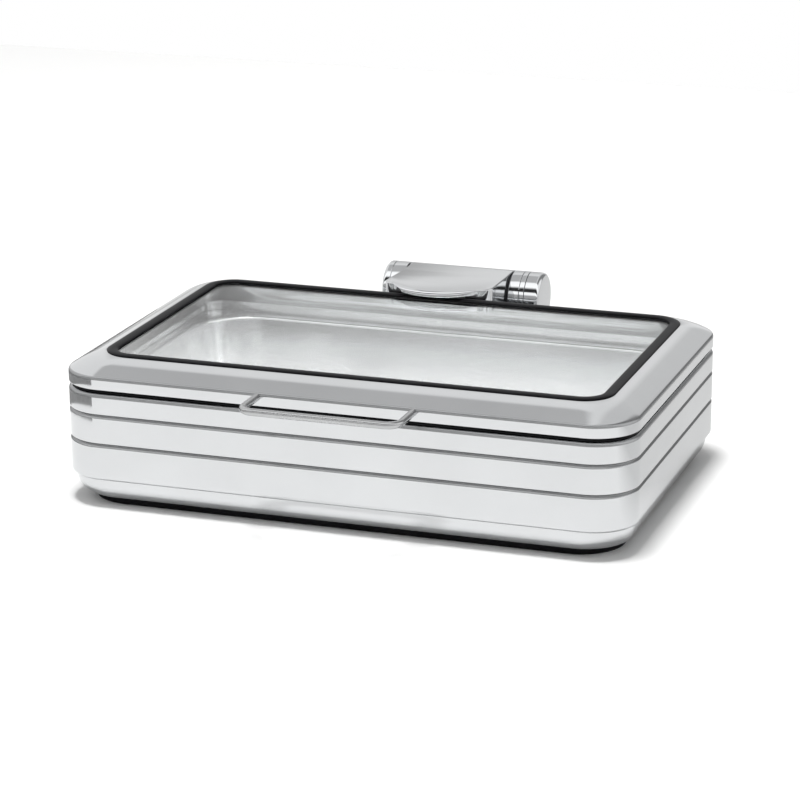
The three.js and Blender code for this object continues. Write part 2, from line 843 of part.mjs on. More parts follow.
// An outline from above that runs from the barrel to the front, which bulges out, moved in by an inset.
// All of it can be seen from its first point, so the end faces can fan out from there.
function coverRing(bulge, inset, heightAt) {
  const { from, to, middle } = hingePlaces.cover;
  const straight = coverLength / 2 - plateCorner;
  const frontY = hingeY - neckReach - bulge;
  const cornerY = hingeY - neckReach + plateCorner;
  const round = plateCorner - inset;
  const points = [[to - inset, hingeY], [from + inset, hingeY], [from + inset, hingeY - hingeRadius]];
  for (let step = 0; step <= arcSteps; step += 1) {
    const turn = quarter * (step / arcSteps);
    points.push([middle - straight - round * Math.cos(turn), cornerY - round * Math.sin(turn)]);
  }
  for (let step = 1 - plateSteps; step < plateSteps; step += 1) {
    const share = step / plateSteps;
    points.push([middle + share * straight, frontY + bulge * share * share + inset]);
  }
  for (let step = arcSteps; step >= 0; step -= 1) {
    const turn = quarter * (step / arcSteps);
    points.push([middle + straight + round * Math.cos(turn), cornerY - round * Math.sin(turn)]);
  }
  points.push([to - inset, hingeY - hingeRadius]);
  return points.map(([x, y]) => new THREE.Vector3(x - sideLean(x, y), y, heightAt(y)));
}

function hingeCover() {
  const { from, to } = hingePlaces.cover;
  const plateRing = (inset, drop) => coverRing(plateBulge, inset, (y) => plateTopAt(y) - drop);
  const neckRing = (heightAt) => coverRing(0, 0, heightAt);
  const plate = loft([
    plateRing(plateEdge, plateThickness),
    plateRing(0, plateThickness - plateEdge),
    plateRing(0, plateEdge),
    plateRing(plateEdge, 0),
  ], false);
  const neck = loft([
    neckRing(() => lidBottom + neckFoot),
    neckRing((y) => plateTopAt(y) - plateThickness / 2),
  ], false);
  const barrel = hingeSleeve(boreRadius, hingeRadius, from, to);
  const bore = roundHinge([
    [0, from - cutOverrun],
    [boreRadius, from - cutOverrun],
    [boreRadius, to + cutOverrun],
    [0, to + cutOverrun],
  ]);
  return cut(joined([plate, neck, barrel]), [bore, lidBlank(), ...coverScrewHoles()]);
}

addPiece('hinge_cover', hingeCover(), polishedSteel());

coverScrewPlaces.forEach((x, index) => {
  const screw = screwAlongY(coverScrewShank).rotateX(-quarter).translate(x, coverScrewY, coverScrewFace);
  addPiece(`cover_screw_${index + 1}`, screw, darkSteel());
});

// Knuckles: a disc of the barrel on an arm from a pad that is screwed to the body's rear wall

function knuckle({ from, to, middle }) {
  const wall = rimDepth / 2 + seatGap;
  const padTop = padBottom + padHeight;
  const pad = box(
    new THREE.Vector3(middle - padWidth / 2, wall, shellBottom + padBottom),
    new THREE.Vector3(middle + padWidth / 2, wall + padThickness, shellBottom + padTop),
  );
  const root = hingeRadius * armRootShare;
  const arm = alongX([
    [wall + padThickness / 2, shellBottom + padBottom],
    [hingeY, hingeZ - root],
    [hingeY, hingeZ],
    [hingeY - root, hingeZ],
    [wall + padThickness / 2, shellBottom + padTop],
  ], from, to);
  const disc = roundHinge([[0, from], [hingeRadius, from], [hingeRadius, to], [0, to]]);
  const hole = shaftHole(from - cutOverrun, to + cutOverrun);
  return cut(joined([pad, arm, disc]), [hole, ...padHoles()]);
}

function shaftHole(fromX, toX) {
  const radius = shaftRadius + seatGap;
  return roundHinge([[0, fromX], [radius, fromX], [radius, toX], [0, toX]]);
}

addPiece('hinge_knuckle_left', knuckle(hingePlaces.leftKnuckle), polishedSteel());
addPiece('hinge_knuckle_right', knuckle(hingePlaces.rightKnuckle), polishedSteel());

// Plates inside the body that the knuckle screws pull against

Object.entries(padMiddles).forEach(([side, middle]) => {
  const face = rimDepth / 2 - shellSheet - seatGap;
  const low = padBottom + backingMargin;
  const high = padBottom + padHeight - backingMargin;
  const plate = box(
    new THREE.Vector3(middle - padWidth / 2, face - backingThickness, shellBottom + low),
    new THREE.Vector3(middle + padWidth / 2, face, shellBottom + high),
  );
  addPiece(`backing_plate_${side}`, cut(plate, padHoles()), satinSteel());
});

padScrewPlaces.forEach((x, index) => {
  const shankLength = seatGap + padThickness + seatGap + shellSheet + seatGap + backingThickness;
  const headFace = rimDepth / 2 + seatGap + padThickness + seatGap;
  const screw = screwAlongY(shankLength).translate(x, headFace, padScrewZ);
  addPiece(`knuckle_screw_${index + 1}`, screw, darkSteel());
});

// End caps with a rounded outer edge and a socket for the shaft

function endCap(innerX, outerX) {
  const side = Math.sign(outerX - innerX);
  const profile = [[0, innerX]];
  profile.push([hingeRadius, innerX]);
  for (let step = 0; step <= arcSteps; step += 1) {
    const angle = quarter * (step / arcSteps);
    profile.push([
      hingeRadius - capRound * (1 - Math.cos(angle)),
      outerX - side * capRound * (1 - Math.sin(angle)),
    ]);
  }
  profile.push([0, outerX]);
  const ordered = side > 0 ? profile : profile.reverse();
  const socket = [innerX - side * cutOverrun, innerX + side * (shaftSocket + seatGap)].sort((a, b) => a - b);
  return cut(roundHinge(ordered), [shaftHole(...socket)]);
}

addPiece('hinge_cap_left', endCap(hingePlaces.leftCap.to, hingePlaces.leftCap.from), polishedSteel());
addPiece('hinge_cap_right', endCap(hingePlaces.rightCap.from, hingePlaces.rightCap.to), polishedSteel());

// Collar, washers, shaft, bushes and dampers

const runningRadius = shaftRadius + seatGap;
const { collar, leftWasher, rightWasher, cover } = hingePlaces;
addPiece('hinge_collar', hingeSleeve(runningRadius, hingeRadius, collar.from, collar.to), satinSteel());
[['left', leftWasher], ['right', rightWasher]].forEach(([side, place]) => {
  const washer = hingeSleeve(runningRadius, hingeRadius - washerStep, place.from, place.to);
  addPiece(`hinge_washer_${side}`, washer, greyPlastic());
});

const shaftFrom = hingePlaces.leftCap.to - shaftSocket;
const shaftTo = hingePlaces.rightCap.from + shaftSocket;
const shaft = roundHinge([[0, shaftFrom], [shaftRadius, shaftFrom], [shaftRadius, shaftTo], [0, shaftTo]]);
addPiece('hinge_shaft', shaft, satinSteel());

const sleeveRadius = boreRadius - seatGap;
const leftBush = { from: cover.from, to: cover.from + bushLength };
const rightBush = { from: cover.to - bushLength, to: cover.to };
const leftDamper = { from: leftBush.to + seatGap, to: leftBush.to + seatGap + damperLength };
const rightDamper = { from: rightBush.from - seatGap - damperLength, to: rightBush.from - seatGap };
const sleeves = [
  ['hinge_bush_left', leftBush, greyPlastic()],
  ['hinge_bush_right', rightBush, greyPlastic()],
  ['hinge_damper_left', leftDamper, darkSteel()],
  ['hinge_damper_right', rightDamper, darkSteel()],
];
sleeves.forEach(([name, place, material]) => {
  addPiece(name, hingeSleeve(runningRadius, sleeveRadius, place.from, place.to), material);
});

export default part;
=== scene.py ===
"""Chafing dish: fine meshes, finishes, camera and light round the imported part."""

import json
import math

import bmesh
import bpy
from mathutils import Matrix, Vector


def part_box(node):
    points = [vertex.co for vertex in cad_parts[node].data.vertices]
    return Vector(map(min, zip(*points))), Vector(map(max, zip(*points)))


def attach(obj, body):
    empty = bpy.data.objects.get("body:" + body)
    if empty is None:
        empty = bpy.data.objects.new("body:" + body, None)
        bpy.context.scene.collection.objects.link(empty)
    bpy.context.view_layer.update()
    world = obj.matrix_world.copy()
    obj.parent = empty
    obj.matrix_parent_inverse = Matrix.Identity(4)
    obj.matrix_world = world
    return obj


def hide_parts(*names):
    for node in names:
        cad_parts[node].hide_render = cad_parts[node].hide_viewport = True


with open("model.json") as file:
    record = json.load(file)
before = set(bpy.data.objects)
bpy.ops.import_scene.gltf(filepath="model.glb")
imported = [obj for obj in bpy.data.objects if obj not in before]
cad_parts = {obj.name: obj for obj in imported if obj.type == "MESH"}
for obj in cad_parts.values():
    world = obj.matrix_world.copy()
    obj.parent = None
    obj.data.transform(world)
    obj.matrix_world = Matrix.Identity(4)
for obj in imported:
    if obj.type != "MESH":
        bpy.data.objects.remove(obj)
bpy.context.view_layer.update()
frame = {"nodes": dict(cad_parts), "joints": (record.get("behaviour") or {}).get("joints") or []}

bl_info = {
    "name": "Chafing dish",
    "version": (1, 0, 0),
    "blender": (4, 5, 0),
    "location": "View3D > Sidebar > Dish",
    "description": "Builds the looks of a chafing dish round its packed frame",
    "category": "Object",
}

# Places read from the frame, in metres

SHELL_LOW, SHELL_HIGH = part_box("body_shell")
LID_LOW, LID_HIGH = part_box("lid_frame")
FOOT_LOW, FOOT_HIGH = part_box("foot_ring")
GASKET_LOW, GASKET_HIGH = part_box("rim_gasket")
SEAL_LOW, SEAL_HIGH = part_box("window_seal")
GLASS_LOW, GLASS_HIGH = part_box("window_glass")
LINER_LOW, LINER_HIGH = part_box("lid_liner")
WATER_LOW, WATER_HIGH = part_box("water_pan")
FOOD_LOW, FOOD_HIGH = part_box("food_pan")
HANDLE_LOW, HANDLE_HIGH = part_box("handle")
COVER_LOW, COVER_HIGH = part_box("hinge_cover")
CAP_LOW, CAP_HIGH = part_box("hinge_cap_right")

RIM_WIDTH = SHELL_HIGH.x - SHELL_LOW.x
RIM_DEPTH = SHELL_HIGH.y - SHELL_LOW.y
BODY_Y = (SHELL_HIGH.y + SHELL_LOW.y) / 2
LID_HINGE = next(joint for joint in frame["joints"] if joint["name"] == "lid_hinge")
HINGE_Y = LID_HINGE["pos_m"][1]
HINGE_Z = LID_HINGE["pos_m"][2]
HINGE_RADIUS = (CAP_HIGH.z - CAP_LOW.z) / 2
# Ends along X of the cover's stretch of the barrel, which stands as far from both washers
STRETCH_HIGH = COVER_HIGH.x
STRETCH_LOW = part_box("hinge_washer_left")[1].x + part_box("hinge_washer_right")[0].x - STRETCH_HIGH
QUARTER = math.pi / 2


def quarter_angles(steps):
    """Angles from nothing to a quarter turn in equal steps."""
    return [QUARTER * step / steps for step in range(steps + 1)]


def full_angles(sides):
    """Angles of the corners of a round with that many sides."""
    return [4 * QUARTER * side / sides for side in range(sides)]


# Settings that a user can change


def length(name, default, text):
    """A size in metres that a user can change."""
    return bpy.props.FloatProperty(
        name=name, description=text, default=default, min=0, precision=5, unit="LENGTH"
    )


def coordinate(name, default):
    """One coordinate of the camera in metres that a user can change."""
    return bpy.props.FloatProperty(name=name, description="Camera's place", default=default, unit="LENGTH")


def share(name, default, text, high=1.0):
    """A number from nothing to a limit that a user can change."""
    return bpy.props.FloatProperty(name=name, description=text, default=default, min=0, max=high)


def count(name, default, text):
    """A number of steps that a user can change."""
    return bpy.props.IntProperty(name=name, description=text, default=default, min=2)


def colour(name, default, text):
    """A colour that a user can change."""
    return bpy.props.FloatVectorProperty(
        name=name, description=text, default=default, size=3, min=0, max=1, subtype="COLOR"
    )


def turn(name, degrees, text):
    """An angle that a user can change."""
    angle = math.radians(degrees)
    return bpy.props.FloatProperty(name=name, description=text, default=angle, subtype="ANGLE")


class ShellSettings(bpy.types.PropertyGroup):
    """Sizes of the body shell and its foot."""

    rim_corner: length("Rim corner", 0.044, "Corner radius of the rim seen from above")
    foot_corner_gain: length("Foot corner gain", 0.017, "How much rounder the foot is than the rim")
    sheet: length("Sheet", 0.0012, "Thickness of the pressed sheet")
    bowl_inset: length("Bowl inset", 0.0125, "How far the bowl at the bottom draws in")
    bowl_rise: length("Bowl rise", 0.021, "Height of the bowl at the bottom")
    step_inset: length("Step inset", 0.0045, "Width of the step above the bowl")
    step_rise: length("Step rise", 0.0045, "Height of the step above the bowl")
    flange: length("Bottom flange", 0.0135, "Width of the flange that is turned in at the bottom")
    groove_low: length("Lower groove", 0.0566, "Height of the lower groove over the shell's bottom")
    groove_high: length("Upper groove", 0.0852, "Height of the upper groove over the shell's bottom")
    groove_opening: length("Groove opening", 0.004, "Height of a groove's mouth")
    groove_floor: length("Groove floor", 0.0004, "Height of a groove's floor")
    groove_depth: length("Groove depth", 0.0019, "Depth of a groove")
    groove_round: length("Groove rounding", 0.0007, "Rounding of a groove's edges")
    # The grooves' painted shade and dullness reach this far past their mouths
    groove_spill: length("Groove spill", 0.0003, "How far a groove's dull band reaches past its mouth")
    rim_round: length("Rim rounding", 0.004, "Radius of the rolled top edge")
    rim_land: length("Rim land", 0.001, "Flat width behind the rolled top edge")
    joggle: length("Joggle", 0.0018, "Drop from the rim to the ledge for the water pan's flange")
    foot_inset: length("Foot inset", 0.0175, "Distance of the foot band from the rim's outline")
    foot_width: length("Foot width", 0.005, "Width of the foot band")
    gasket_inset: length("Gasket inset", 0.003, "Distance of the gasket from the rim's outline")
    gasket_width: length("Gasket width", 0.0075, "Width of the gasket")


class LidSettings(bpy.types.PropertyGroup):
    """Sizes of the lid frame, the window and the liner."""

    sheet: length("Sheet", 0.0012, "Thickness of the pressed sheet")
    fascia_flat: length("Fascia", 0.0094, "Height of the upright fascia")
    hem: length("Hem", 0.006, "Width of the hem turned in under the fascia")
    hem_round: length("Hem rounding", 0.0008, "Rounding of the fascia's lower edge")
    shoulder_radius: length("Shoulder radius", 0.004, "Radius between the fascia and the slope")
    shoulder_turn: turn("Shoulder turn", 60, "Angle through which the shoulder bends")
    slope_fullness: share("Slope fullness", 0.6, "How much fuller than straight the slope is")
    window_corner: length("Window corner", 0.025, "Corner radius of the seal's middle line")
    seal_half_width: length("Seal half width", 0.00525, "Half the width of the window seal")
    seal_grip: length("Seal grip", 0.00375, "How far the seal reaches over the frame's lip")
    seal_web: length("Seal web", 0.0012, "Half the thickness between the seal's two slots")
    seal_skirt: length("Seal skirt", 0.0017, "Thickness of the seal's lower lips")
    seal_skirt_inset: length("Seal skirt inset", 0.00075, "How much narrower the lower lips are")
    seat_gap: length("Seat gap", 0.0003, "Gap between a piece and its seat")
    liner_sheet: length("Liner sheet", 0.001, "Thickness of the liner")
    liner_inset: length("Liner inset", 0.024, "Distance of the liner's lower edge from the rim")
    liner_upright: length("Liner upright", 0.0114, "Distance of the liner's outer wall from the rim")


class PanSettings(bpy.types.PropertyGroup):
    """Sizes of the food pan and the water pan."""

    sheet: length("Sheet", 0.001, "Thickness of the pressed sheet")
    food_corner: length("Food pan corner", 0.02, "Corner radius of the food pan's flange")
    food_flange: length("Food pan flange", 0.012, "Width of the food pan's flange")
    food_mouth_corner: length("Food pan mouth corner", 0.06, "Corner radius of the food pan's mouth")
    food_draft: length("Food pan draft", 0.009, "How far the food pan's walls lean in")
    heel: length("Heel", 0.008, "Rounding between a pan's wall and its floor")
    mouth_round: length("Mouth rounding", 0.003, "Rounding between a pan's flange and its wall")
    recess_gap: length("Recess gap", 0.001, "Room round the food pan's flange")
    ledge_width: length("Ledge width", 0.01, "Width of the ledge that carries the food pan")
    ledge_corner: length("Ledge corner", 0.05, "Corner radius of the water pan's mouth")
    ledge_round: length("Ledge rounding", 0.002, "Rounding between the ledge and the water pan's wall")
    water_draft: length("Water pan draft", 0.002, "How far the water pan's walls lean in")
    food_recess: length("Food pan recess", 0.0119, "Depth of the food pan's flange under the rim")


class HandleSettings(bpy.types.PropertyGroup):
    """Sizes of the handle."""

    bend: length("Bend", 0.013, "Radius of the rod's middle line in the bends")
    sides: count("Sides", 40, "Sides of the round rod")


class HingeSettings(bpy.types.PropertyGroup):
    """Sizes of the hinge cover and the barrel."""

    fall: length("Fall", 0.002, "How far the cover's plate falls from the barrel to its front")
    plate_thickness: length("Plate thickness", 0.006, "Thickness of the cover's plate")
    front_round: length("Front rounding", 0.0048, "Rounding of the plate's front edge")
    side_round: length("Side rounding", 0.0014, "Rounding of the plate's sides")
    bulge: length("Bulge", 0.02, "How far the plate's front curves out")
    corner: length("Corner", 0.012, "Corner radius of the plate seen from above")
    flare_left: length("Flare left", 0.008, "How far the plate's left side leans out")
    taper_right: length("Taper right", 0.0025, "How far the plate's right side leans in")
    under_round: length("Under rounding", 0.0008, "Rounding of the plate's lower front edge")
    neck_foot: length("Neck foot", 0.003, "Height of the neck's lowest edge over the lid's lower edge")
    bore_radius: length("Bore radius", 0.0203, "Radius of the bore through the cover")
    shaft_radius: length("Shaft radius", 0.0053, "Radius of the hole for the shaft")
    cap_round: length("Cap rounding", 0.0045, "Rounding of the end caps")
    edge: length("Edge", 0.0005, "Rounding of the other edges of the barrel")
    pad_height: length("Pad height", 0.021, "Height of the pads on the rear wall")
    pad_thickness: length("Pad thickness", 0.005, "Thickness of the pads on the rear wall")
    pad_round: length("Pad rounding", 0.0012, "Rounding of the pads' and arms' edges")
    arm_root: share("Arm root", 0.95, "Width of the arms at the barrel, as a share of its radius")
    sides: count("Sides", 96, "Sides of the barrel")


class FinishSettings(bpy.types.PropertyGroup):
    """Colours and finishes."""

    polished: colour("Polished steel", (0.63, 0.64, 0.65), "Colour of the polished steel")
    # Painted shade: the handle's steel is set darker than the sheet's, standing in for its darker reflections
    rod: colour("Rod", (0.47, 0.475, 0.48), "Colour of the handle")
    satin: colour("Satin steel", (0.93, 0.935, 0.94), "Colour of the satin steel")
    drawn: colour("Drawn steel", (0.68, 0.685, 0.69), "Colour of the lid's liner")
    plain: colour("Plain steel", (0.36, 0.37, 0.39), "Colour of the zinc-plated steel")
    rubber: colour("Rubber", (0.008, 0.008, 0.009), "Colour of the black silicone")
    plastic: colour("Plastic", (0.03, 0.031, 0.034), "Colour of the dark plastic")
    glass: colour("Glass", (0.97, 0.985, 0.98), "Colour of the window glass")
    # Painted shade: the grooves' colour is darkened to this share, standing in for the darker reflections in
    # their hollows
    groove_painted_shade: share("Groove shade", 0.52, "Brightness of the grooves, as a share of the steel's")
    # Painted shade: the rolled rim edge and the lid's shoulder are darkened to this share, standing in for
    # their darker reflections
    bend_painted_shade: share("Bend shade", 0.55, "Brightness of the sharpest bends, as a share of the steel's")
    band_roughness: share("Band roughness", 0.32, "Roughness of the grooves and the sharpest bends")
    rod_roughness: share("Rod roughness", 0.2, "Least roughness of the handle")
    polish_roughness: share("Polish roughness", 0.06, "Least roughness of the polished steel")
    drawn_roughness: share("Drawn roughness", 0.06, "Least roughness of the lid's liner")
    satin_roughness: share("Satin roughness", 0.13, "Least roughness of the satin steel")
    satin_metallic: share("Satin metallic", 0.88, "How metallic the satin steel is, as its grain dulls it")


class StageSettings(bpy.types.PropertyGroup):
    """Camera, floor and light."""

    yaw: turn("Yaw", 19.0841, "How far right of the front the camera stands")
    pitch: turn("Pitch", 17.1089, "How far down the camera looks")
    roll: turn("Roll", -0.2558, "How far the camera leans")
    camera_x: coordinate("Camera X", 0.9028)
    camera_y: coordinate("Camera Y", -2.6001)
    camera_z: coordinate("Camera Z", 0.9244)
    lens: share("Lens", 133.23, "Focal length in millimetres", 500.0)
    floor_size: length("Floor size", 4.0, "Length of each side of the floor")
    floor_colour: colour("Floor", (0.93, 0.93, 0.925), "Colour of the floor")
    key_power: share("Key power", 262.0, "Power of the key light in watts", 1000.0)
    mirrored_shade: share("Mirrored shade", 0.68, "Brightness of mirror images of the floor behind the dish")
    card_distance: length("Card distance", 0.3, "Distance of the grey card from the front left corner")
    card_height: length("Card height", 0.12, "Height of the grey card")
    card_colour: colour("Card", (0.37, 0.37, 0.37), "Colour of the grey card")
    world_strength: share("World strength", 1.0, "Strength of the light from all round", 10.0)


class DishSettings(bpy.types.PropertyGroup):
    """All the settings of the dish."""

    shell: bpy.props.PointerProperty(type=ShellSettings, name="Shell", description="Body shell")
    lid: bpy.props.PointerProperty(type=LidSettings, name="Lid", description="Lid and window")
    pans: bpy.props.PointerProperty(type=PanSettings, name="Pans", description="Food pan and water pan")
    handle: bpy.props.PointerProperty(type=HandleSettings, name="Handle", description="Handle")
    hinge: bpy.props.PointerProperty(type=HingeSettings, name="Hinge", description="Hinge cover and barrel")
    finish: bpy.props.PointerProperty(type=FinishSettings, name="Finish", description="Colours and finishes")
    stage: bpy.props.PointerProperty(type=StageSettings, name="Stage", description="Camera, floor and light")


# Outlines seen from above, as (width, depth, corner, middle y)

CORNER_STEPS = 24
LEAST_CORNER = 0.001


def grown(outline, by):
    """The outline moved out, or in by a negative amount."""
    width, depth, corner, middle = outline
    return width + 2 * by, depth + 2 * by, max(corner + by, LEAST_CORNER), middle


def between(start, end, amount):
    """An outline on the way from one to another."""
    return tuple(a + (b - a) * amount for a, b in zip(start, end))


def ring(outline, height):
    """Points of a rounded rectangle at one height."""
    width, depth, corner, middle = outline
    reach_x = width / 2 - corner
    reach_y = depth / 2 - corner
    points = []
    for index, (side_x, side_y) in enumerate(((1, 1), (-1, 1), (-1, -1), (1, -1))):
        for step in range(CORNER_STEPS + 1):
            angle = QUARTER * (index + step / CORNER_STEPS)
            points.append(Vector((
                side_x * reach_x + corner * math.cos(angle),
                middle + side_y * reach_y + corner * math.sin(angle),
                height,
            )))
    return points


def rim_outline(settings):
    """The outline of the body's rim and the lid."""
    return RIM_WIDTH, RIM_DEPTH, settings.shell.rim_corner, BODY_Y


def foot_outline(settings):
    """The rim's outline with the rounder corners of the foot."""
    return RIM_WIDTH, RIM_DEPTH, settings.shell.rim_corner + settings.shell.foot_corner_gain, BODY_Y


def window_outline(settings):
    """The middle line of the window seal."""
    seal = SEAL_HIGH - SEAL_LOW
    width = 2 * settings.lid.seal_half_width
    return seal.x - width, seal.y - width, settings.lid.window_corner, (SEAL_HIGH.y + SEAL_LOW.y) / 2


# Sections, as lists of (inset, height)

ROUND_STEPS = 6


def arc(middle, radii, start, end, steps):
    """Points of an arc of an ellipse. Angles run from the inset direction towards the height direction."""
    points = []
    for step in range(steps + 1):
        angle = start + (end - start) * step / steps
        points.append((middle[0] + radii[0] * math.cos(angle), middle[1] + radii[1] * math.sin(angle)))
    return points


def rounded(corners, steps=ROUND_STEPS):
    """A closed line through corners given as (across, height, rounding), with each corner rounded off."""
    points = []
    for index, (across, height, rounding) in enumerate(corners):
        here = Vector((across, height))
        if rounding == 0:
            points.append((across, height))
            continue
        to_last = Vector(corners[index - 1][:2]) - here
        to_next = Vector(corners[(index + 1) % len(corners)][:2]) - here
        reach = min(rounding, to_last.length / 2, to_next.length / 2)
        to_last.normalize()
        to_next.normalize()
        for step in range(steps + 1):
            part = step / steps
            point = here + to_last * reach * (1 - part) ** 2 + to_next * reach * part ** 2
            points.append((point.x, point.y))
    return points


# Meshes, as (points, faces)


def loft(rings, closes):
    """Joins rings of equal count into a tube that closes on itself, or into a stack with two end faces."""
    size = len(rings[0])
    points = [point for one in rings for point in one]
    spans = len(rings) if closes else len(rings) - 1
    faces = []
    for span in range(spans):
        low = span * size
        high = (span + 1) % len(rings) * size
        for step in range(size):
            after = (step + 1) % size
            faces.append((low + step, low + after, high + after, high + step))
    if not closes:
        last = (len(rings) - 1) * size
        faces.append(tuple(range(size - 1, -1, -1)))
        faces.append(tuple(range(last, last + size)))
    return points, faces


def swept(section, outline_at):
    """A closed section of (inset, height) points swept round the outline that belongs to each point."""
    return loft([ring(outline_at(inset, height), height) for inset, height in section], True)


def lathe(profile, sides):
    """A closed profile of (radius, x) points turned round the hinge axis. A radius of zero lies on it."""
    points = []
    for radius, x in profile:
        for angle in full_angles(sides):
            points.append(Vector((x, HINGE_Y + radius * math.cos(angle), HINGE_Z + radius * math.sin(angle))))
    faces = []
    spans = len(profile) if profile[0][0] > 0 else len(profile) - 1
    for span in range(spans):
        low = span * sides
        high = (span + 1) % len(profile) * sides
        for side in range(sides):
            after = (side + 1) % sides
            faces.append((low + side, low + after, high + after, high + side))
    return points, faces


def block(low, high, rounding):
    """A box with rounded edges."""
    mesh = bmesh.new()
    bmesh.ops.create_cube(mesh, size=1)
    for vertex in mesh.verts:
        vertex.co = Vector(low[k] + (vertex.co[k] + 0.5) * (high[k] - low[k]) for k in range(3))
    return bevelled(mesh, rounding)


def bevelled(mesh, rounding):
    """The points and faces of a bmesh after its edges are rounded. It frees the bmesh."""
    bmesh.ops.bevel(
        mesh, geom=mesh.edges[:], offset=rounding, offset_type="OFFSET", segments=4, profile=0.5,
        affect="EDGES", clamp_overlap=True,
    )
    mesh.verts.index_update()
    points = [vertex.co.copy() for vertex in mesh.verts]
    faces = [tuple(vertex.index for vertex in face.verts) for face in mesh.faces]
    mesh.free()
    return points, faces


def plate_along_x(profile, low_x, high_x, rounding):
    """A profile of (y, z) points drawn out along X, with rounded edges."""
    mesh = bmesh.new()
    near = [mesh.verts.new((low_x, y, z)) for y, z in profile]
    far = [mesh.verts.new((high_x, y, z)) for y, z in profile]
    mesh.faces.new(near)
    mesh.faces.new(far[::-1])
    for step in range(len(profile)):
        after = (step + 1) % len(profile)
        mesh.faces.new((near[step], far[step], far[after], near[after]))
    bmesh.ops.recalc_face_normals(mesh, faces=mesh.faces[:])
    return bevelled(mesh, rounding)


SHARP_ANGLE = math.radians(32)
WELD_DISTANCE = 1e-6


def piece(name, shells, body, nodes, material):
    """Makes one object of closed shells. It rides on a body and stands for CAD nodes."""
    whole = bmesh.new()
    for points, faces in shells:
        part = bmesh.new()
        made = [part.verts.new(point) for point in points]
        for face in faces:
            part.faces.new([made[index] for index in face])
        bmesh.ops.remove_doubles(part, verts=part.verts[:], dist=WELD_DISTANCE)
        bmesh.ops.recalc_face_normals(part, faces=part.faces[:])
        shell_mesh = bpy.data.meshes.new(name)
        part.to_mesh(shell_mesh)
        part.free()
        whole.from_mesh(shell_mesh)
        bpy.data.meshes.remove(shell_mesh)
    mesh = bpy.data.meshes.new(name)
    whole.to_mesh(mesh)
    whole.free()
    mesh.shade_smooth()
    mesh.set_sharp_from_angle(angle=SHARP_ANGLE)
    mesh.materials.append(material)
    made_object = bpy.data.objects.new(name, mesh)
    bpy.context.scene.collection.objects.link(made_object)
    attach(made_object, body)
    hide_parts(*nodes)
    return made_object


# Effects that several materials use

# Grey levels that plain noise, and two noises mixed, seldom leave
CLOUD_LOW = 0.3
CLOUD_HIGH = 0.7
MIXED_LOW = 0.35
MIXED_HIGH = 0.65
# How much finer than along the other axes the marks and the grain are
LEVEL_MARKS = (1, 1, 28)
UPRIGHT_MARKS = (26, 26, 1)
LONG_GRAIN = (1, 22, 22)
SMUDGE_SHARE = 0.7
GRAIN_SHARE = 0.6
GRAIN_CLOUD_SCALE = 9.0
SPECKLE_CLOUD_SCALE = 30.0
# Places of a mix node's colour sockets, as its number and vector sockets have the same names
MIX_UNDER = 6
MIX_OVER = 7
MIX_RESULT = 2


def feed(tree, socket, value):
    """Links a socket to another one, or gives it a plain value."""
    if isinstance(value, bpy.types.NodeSocket):
        tree.links.new(value, socket)
    else:
        socket.default_value = value


def add_math(tree, operation, first, second):
    """A math node's result. Its inputs are sockets or numbers."""
    node = tree.nodes.new("ShaderNodeMath")
    node.operation = operation
    feed(tree, node.inputs[0], first)
    feed(tree, node.inputs[1], second)
    return node.outputs[0]


def add_noise(tree, vector, scale, detail):
    """A noise texture's value on a vector socket."""
    node = tree.nodes.new("ShaderNodeTexNoise")
    node.inputs["Detail"].default_value = detail
    tree.links.new(vector, node.inputs["Vector"])
    feed(tree, node.inputs["Scale"], scale)
    return node.outputs[0]


def add_stretch(tree, vector, scales):
    """A vector socket scaled along each axis."""
    node = tree.nodes.new("ShaderNodeMapping")
    node.inputs["Scale"].default_value = scales
    tree.links.new(vector, node.inputs["Vector"])
    return node.outputs[0]


def add_spread(tree, value, low, high, to_low=0.0, to_high=1.0):
    """A value socket spread from one range to another, and held inside it."""
    node = tree.nodes.new("ShaderNodeMapRange")
    for socket, end in zip(node.inputs, (value, low, high, to_low, to_high)):
        feed(tree, socket, end)
    return node.outputs[0]


def add_blend(tree, first, first_share, second):
    """Two value sockets added up, the first with its share and the second with the rest."""
    kept = add_math(tree, "MULTIPLY", first, first_share)
    return add_math(tree, "ADD", kept, add_math(tree, "MULTIPLY", second, 1 - first_share))


def add_mix(tree, amount, under, over, blend_type="MIX"):
    """A colour socket with another one, or a plain colour, laid over it by an amount."""
    node = tree.nodes.new("ShaderNodeMix")
    node.data_type = "RGBA"
    node.blend_type = blend_type
    feed(tree, node.inputs[0], amount)
    tree.links.new(under, node.inputs[MIX_UNDER])
    feed(tree, node.inputs[MIX_OVER], over)
    return node.outputs[MIX_RESULT]


def add_shader_mix(tree, amount, first, second):
    """Two shader sockets mixed by an amount of the second."""
    node = tree.nodes.new("ShaderNodeMixShader")
    for socket, source in zip(node.inputs, (amount, first, second)):
        tree.links.new(source, socket)
    return node.outputs[0]


def add_places(tree):
    """The three sockets of a place on the surface, in the object's own axes."""
    parts = tree.nodes.new("ShaderNodeSeparateXYZ")
    tree.links.new(tree.nodes.new("ShaderNodeTexCoord").outputs["Object"], parts.inputs[0])
    return parts.outputs


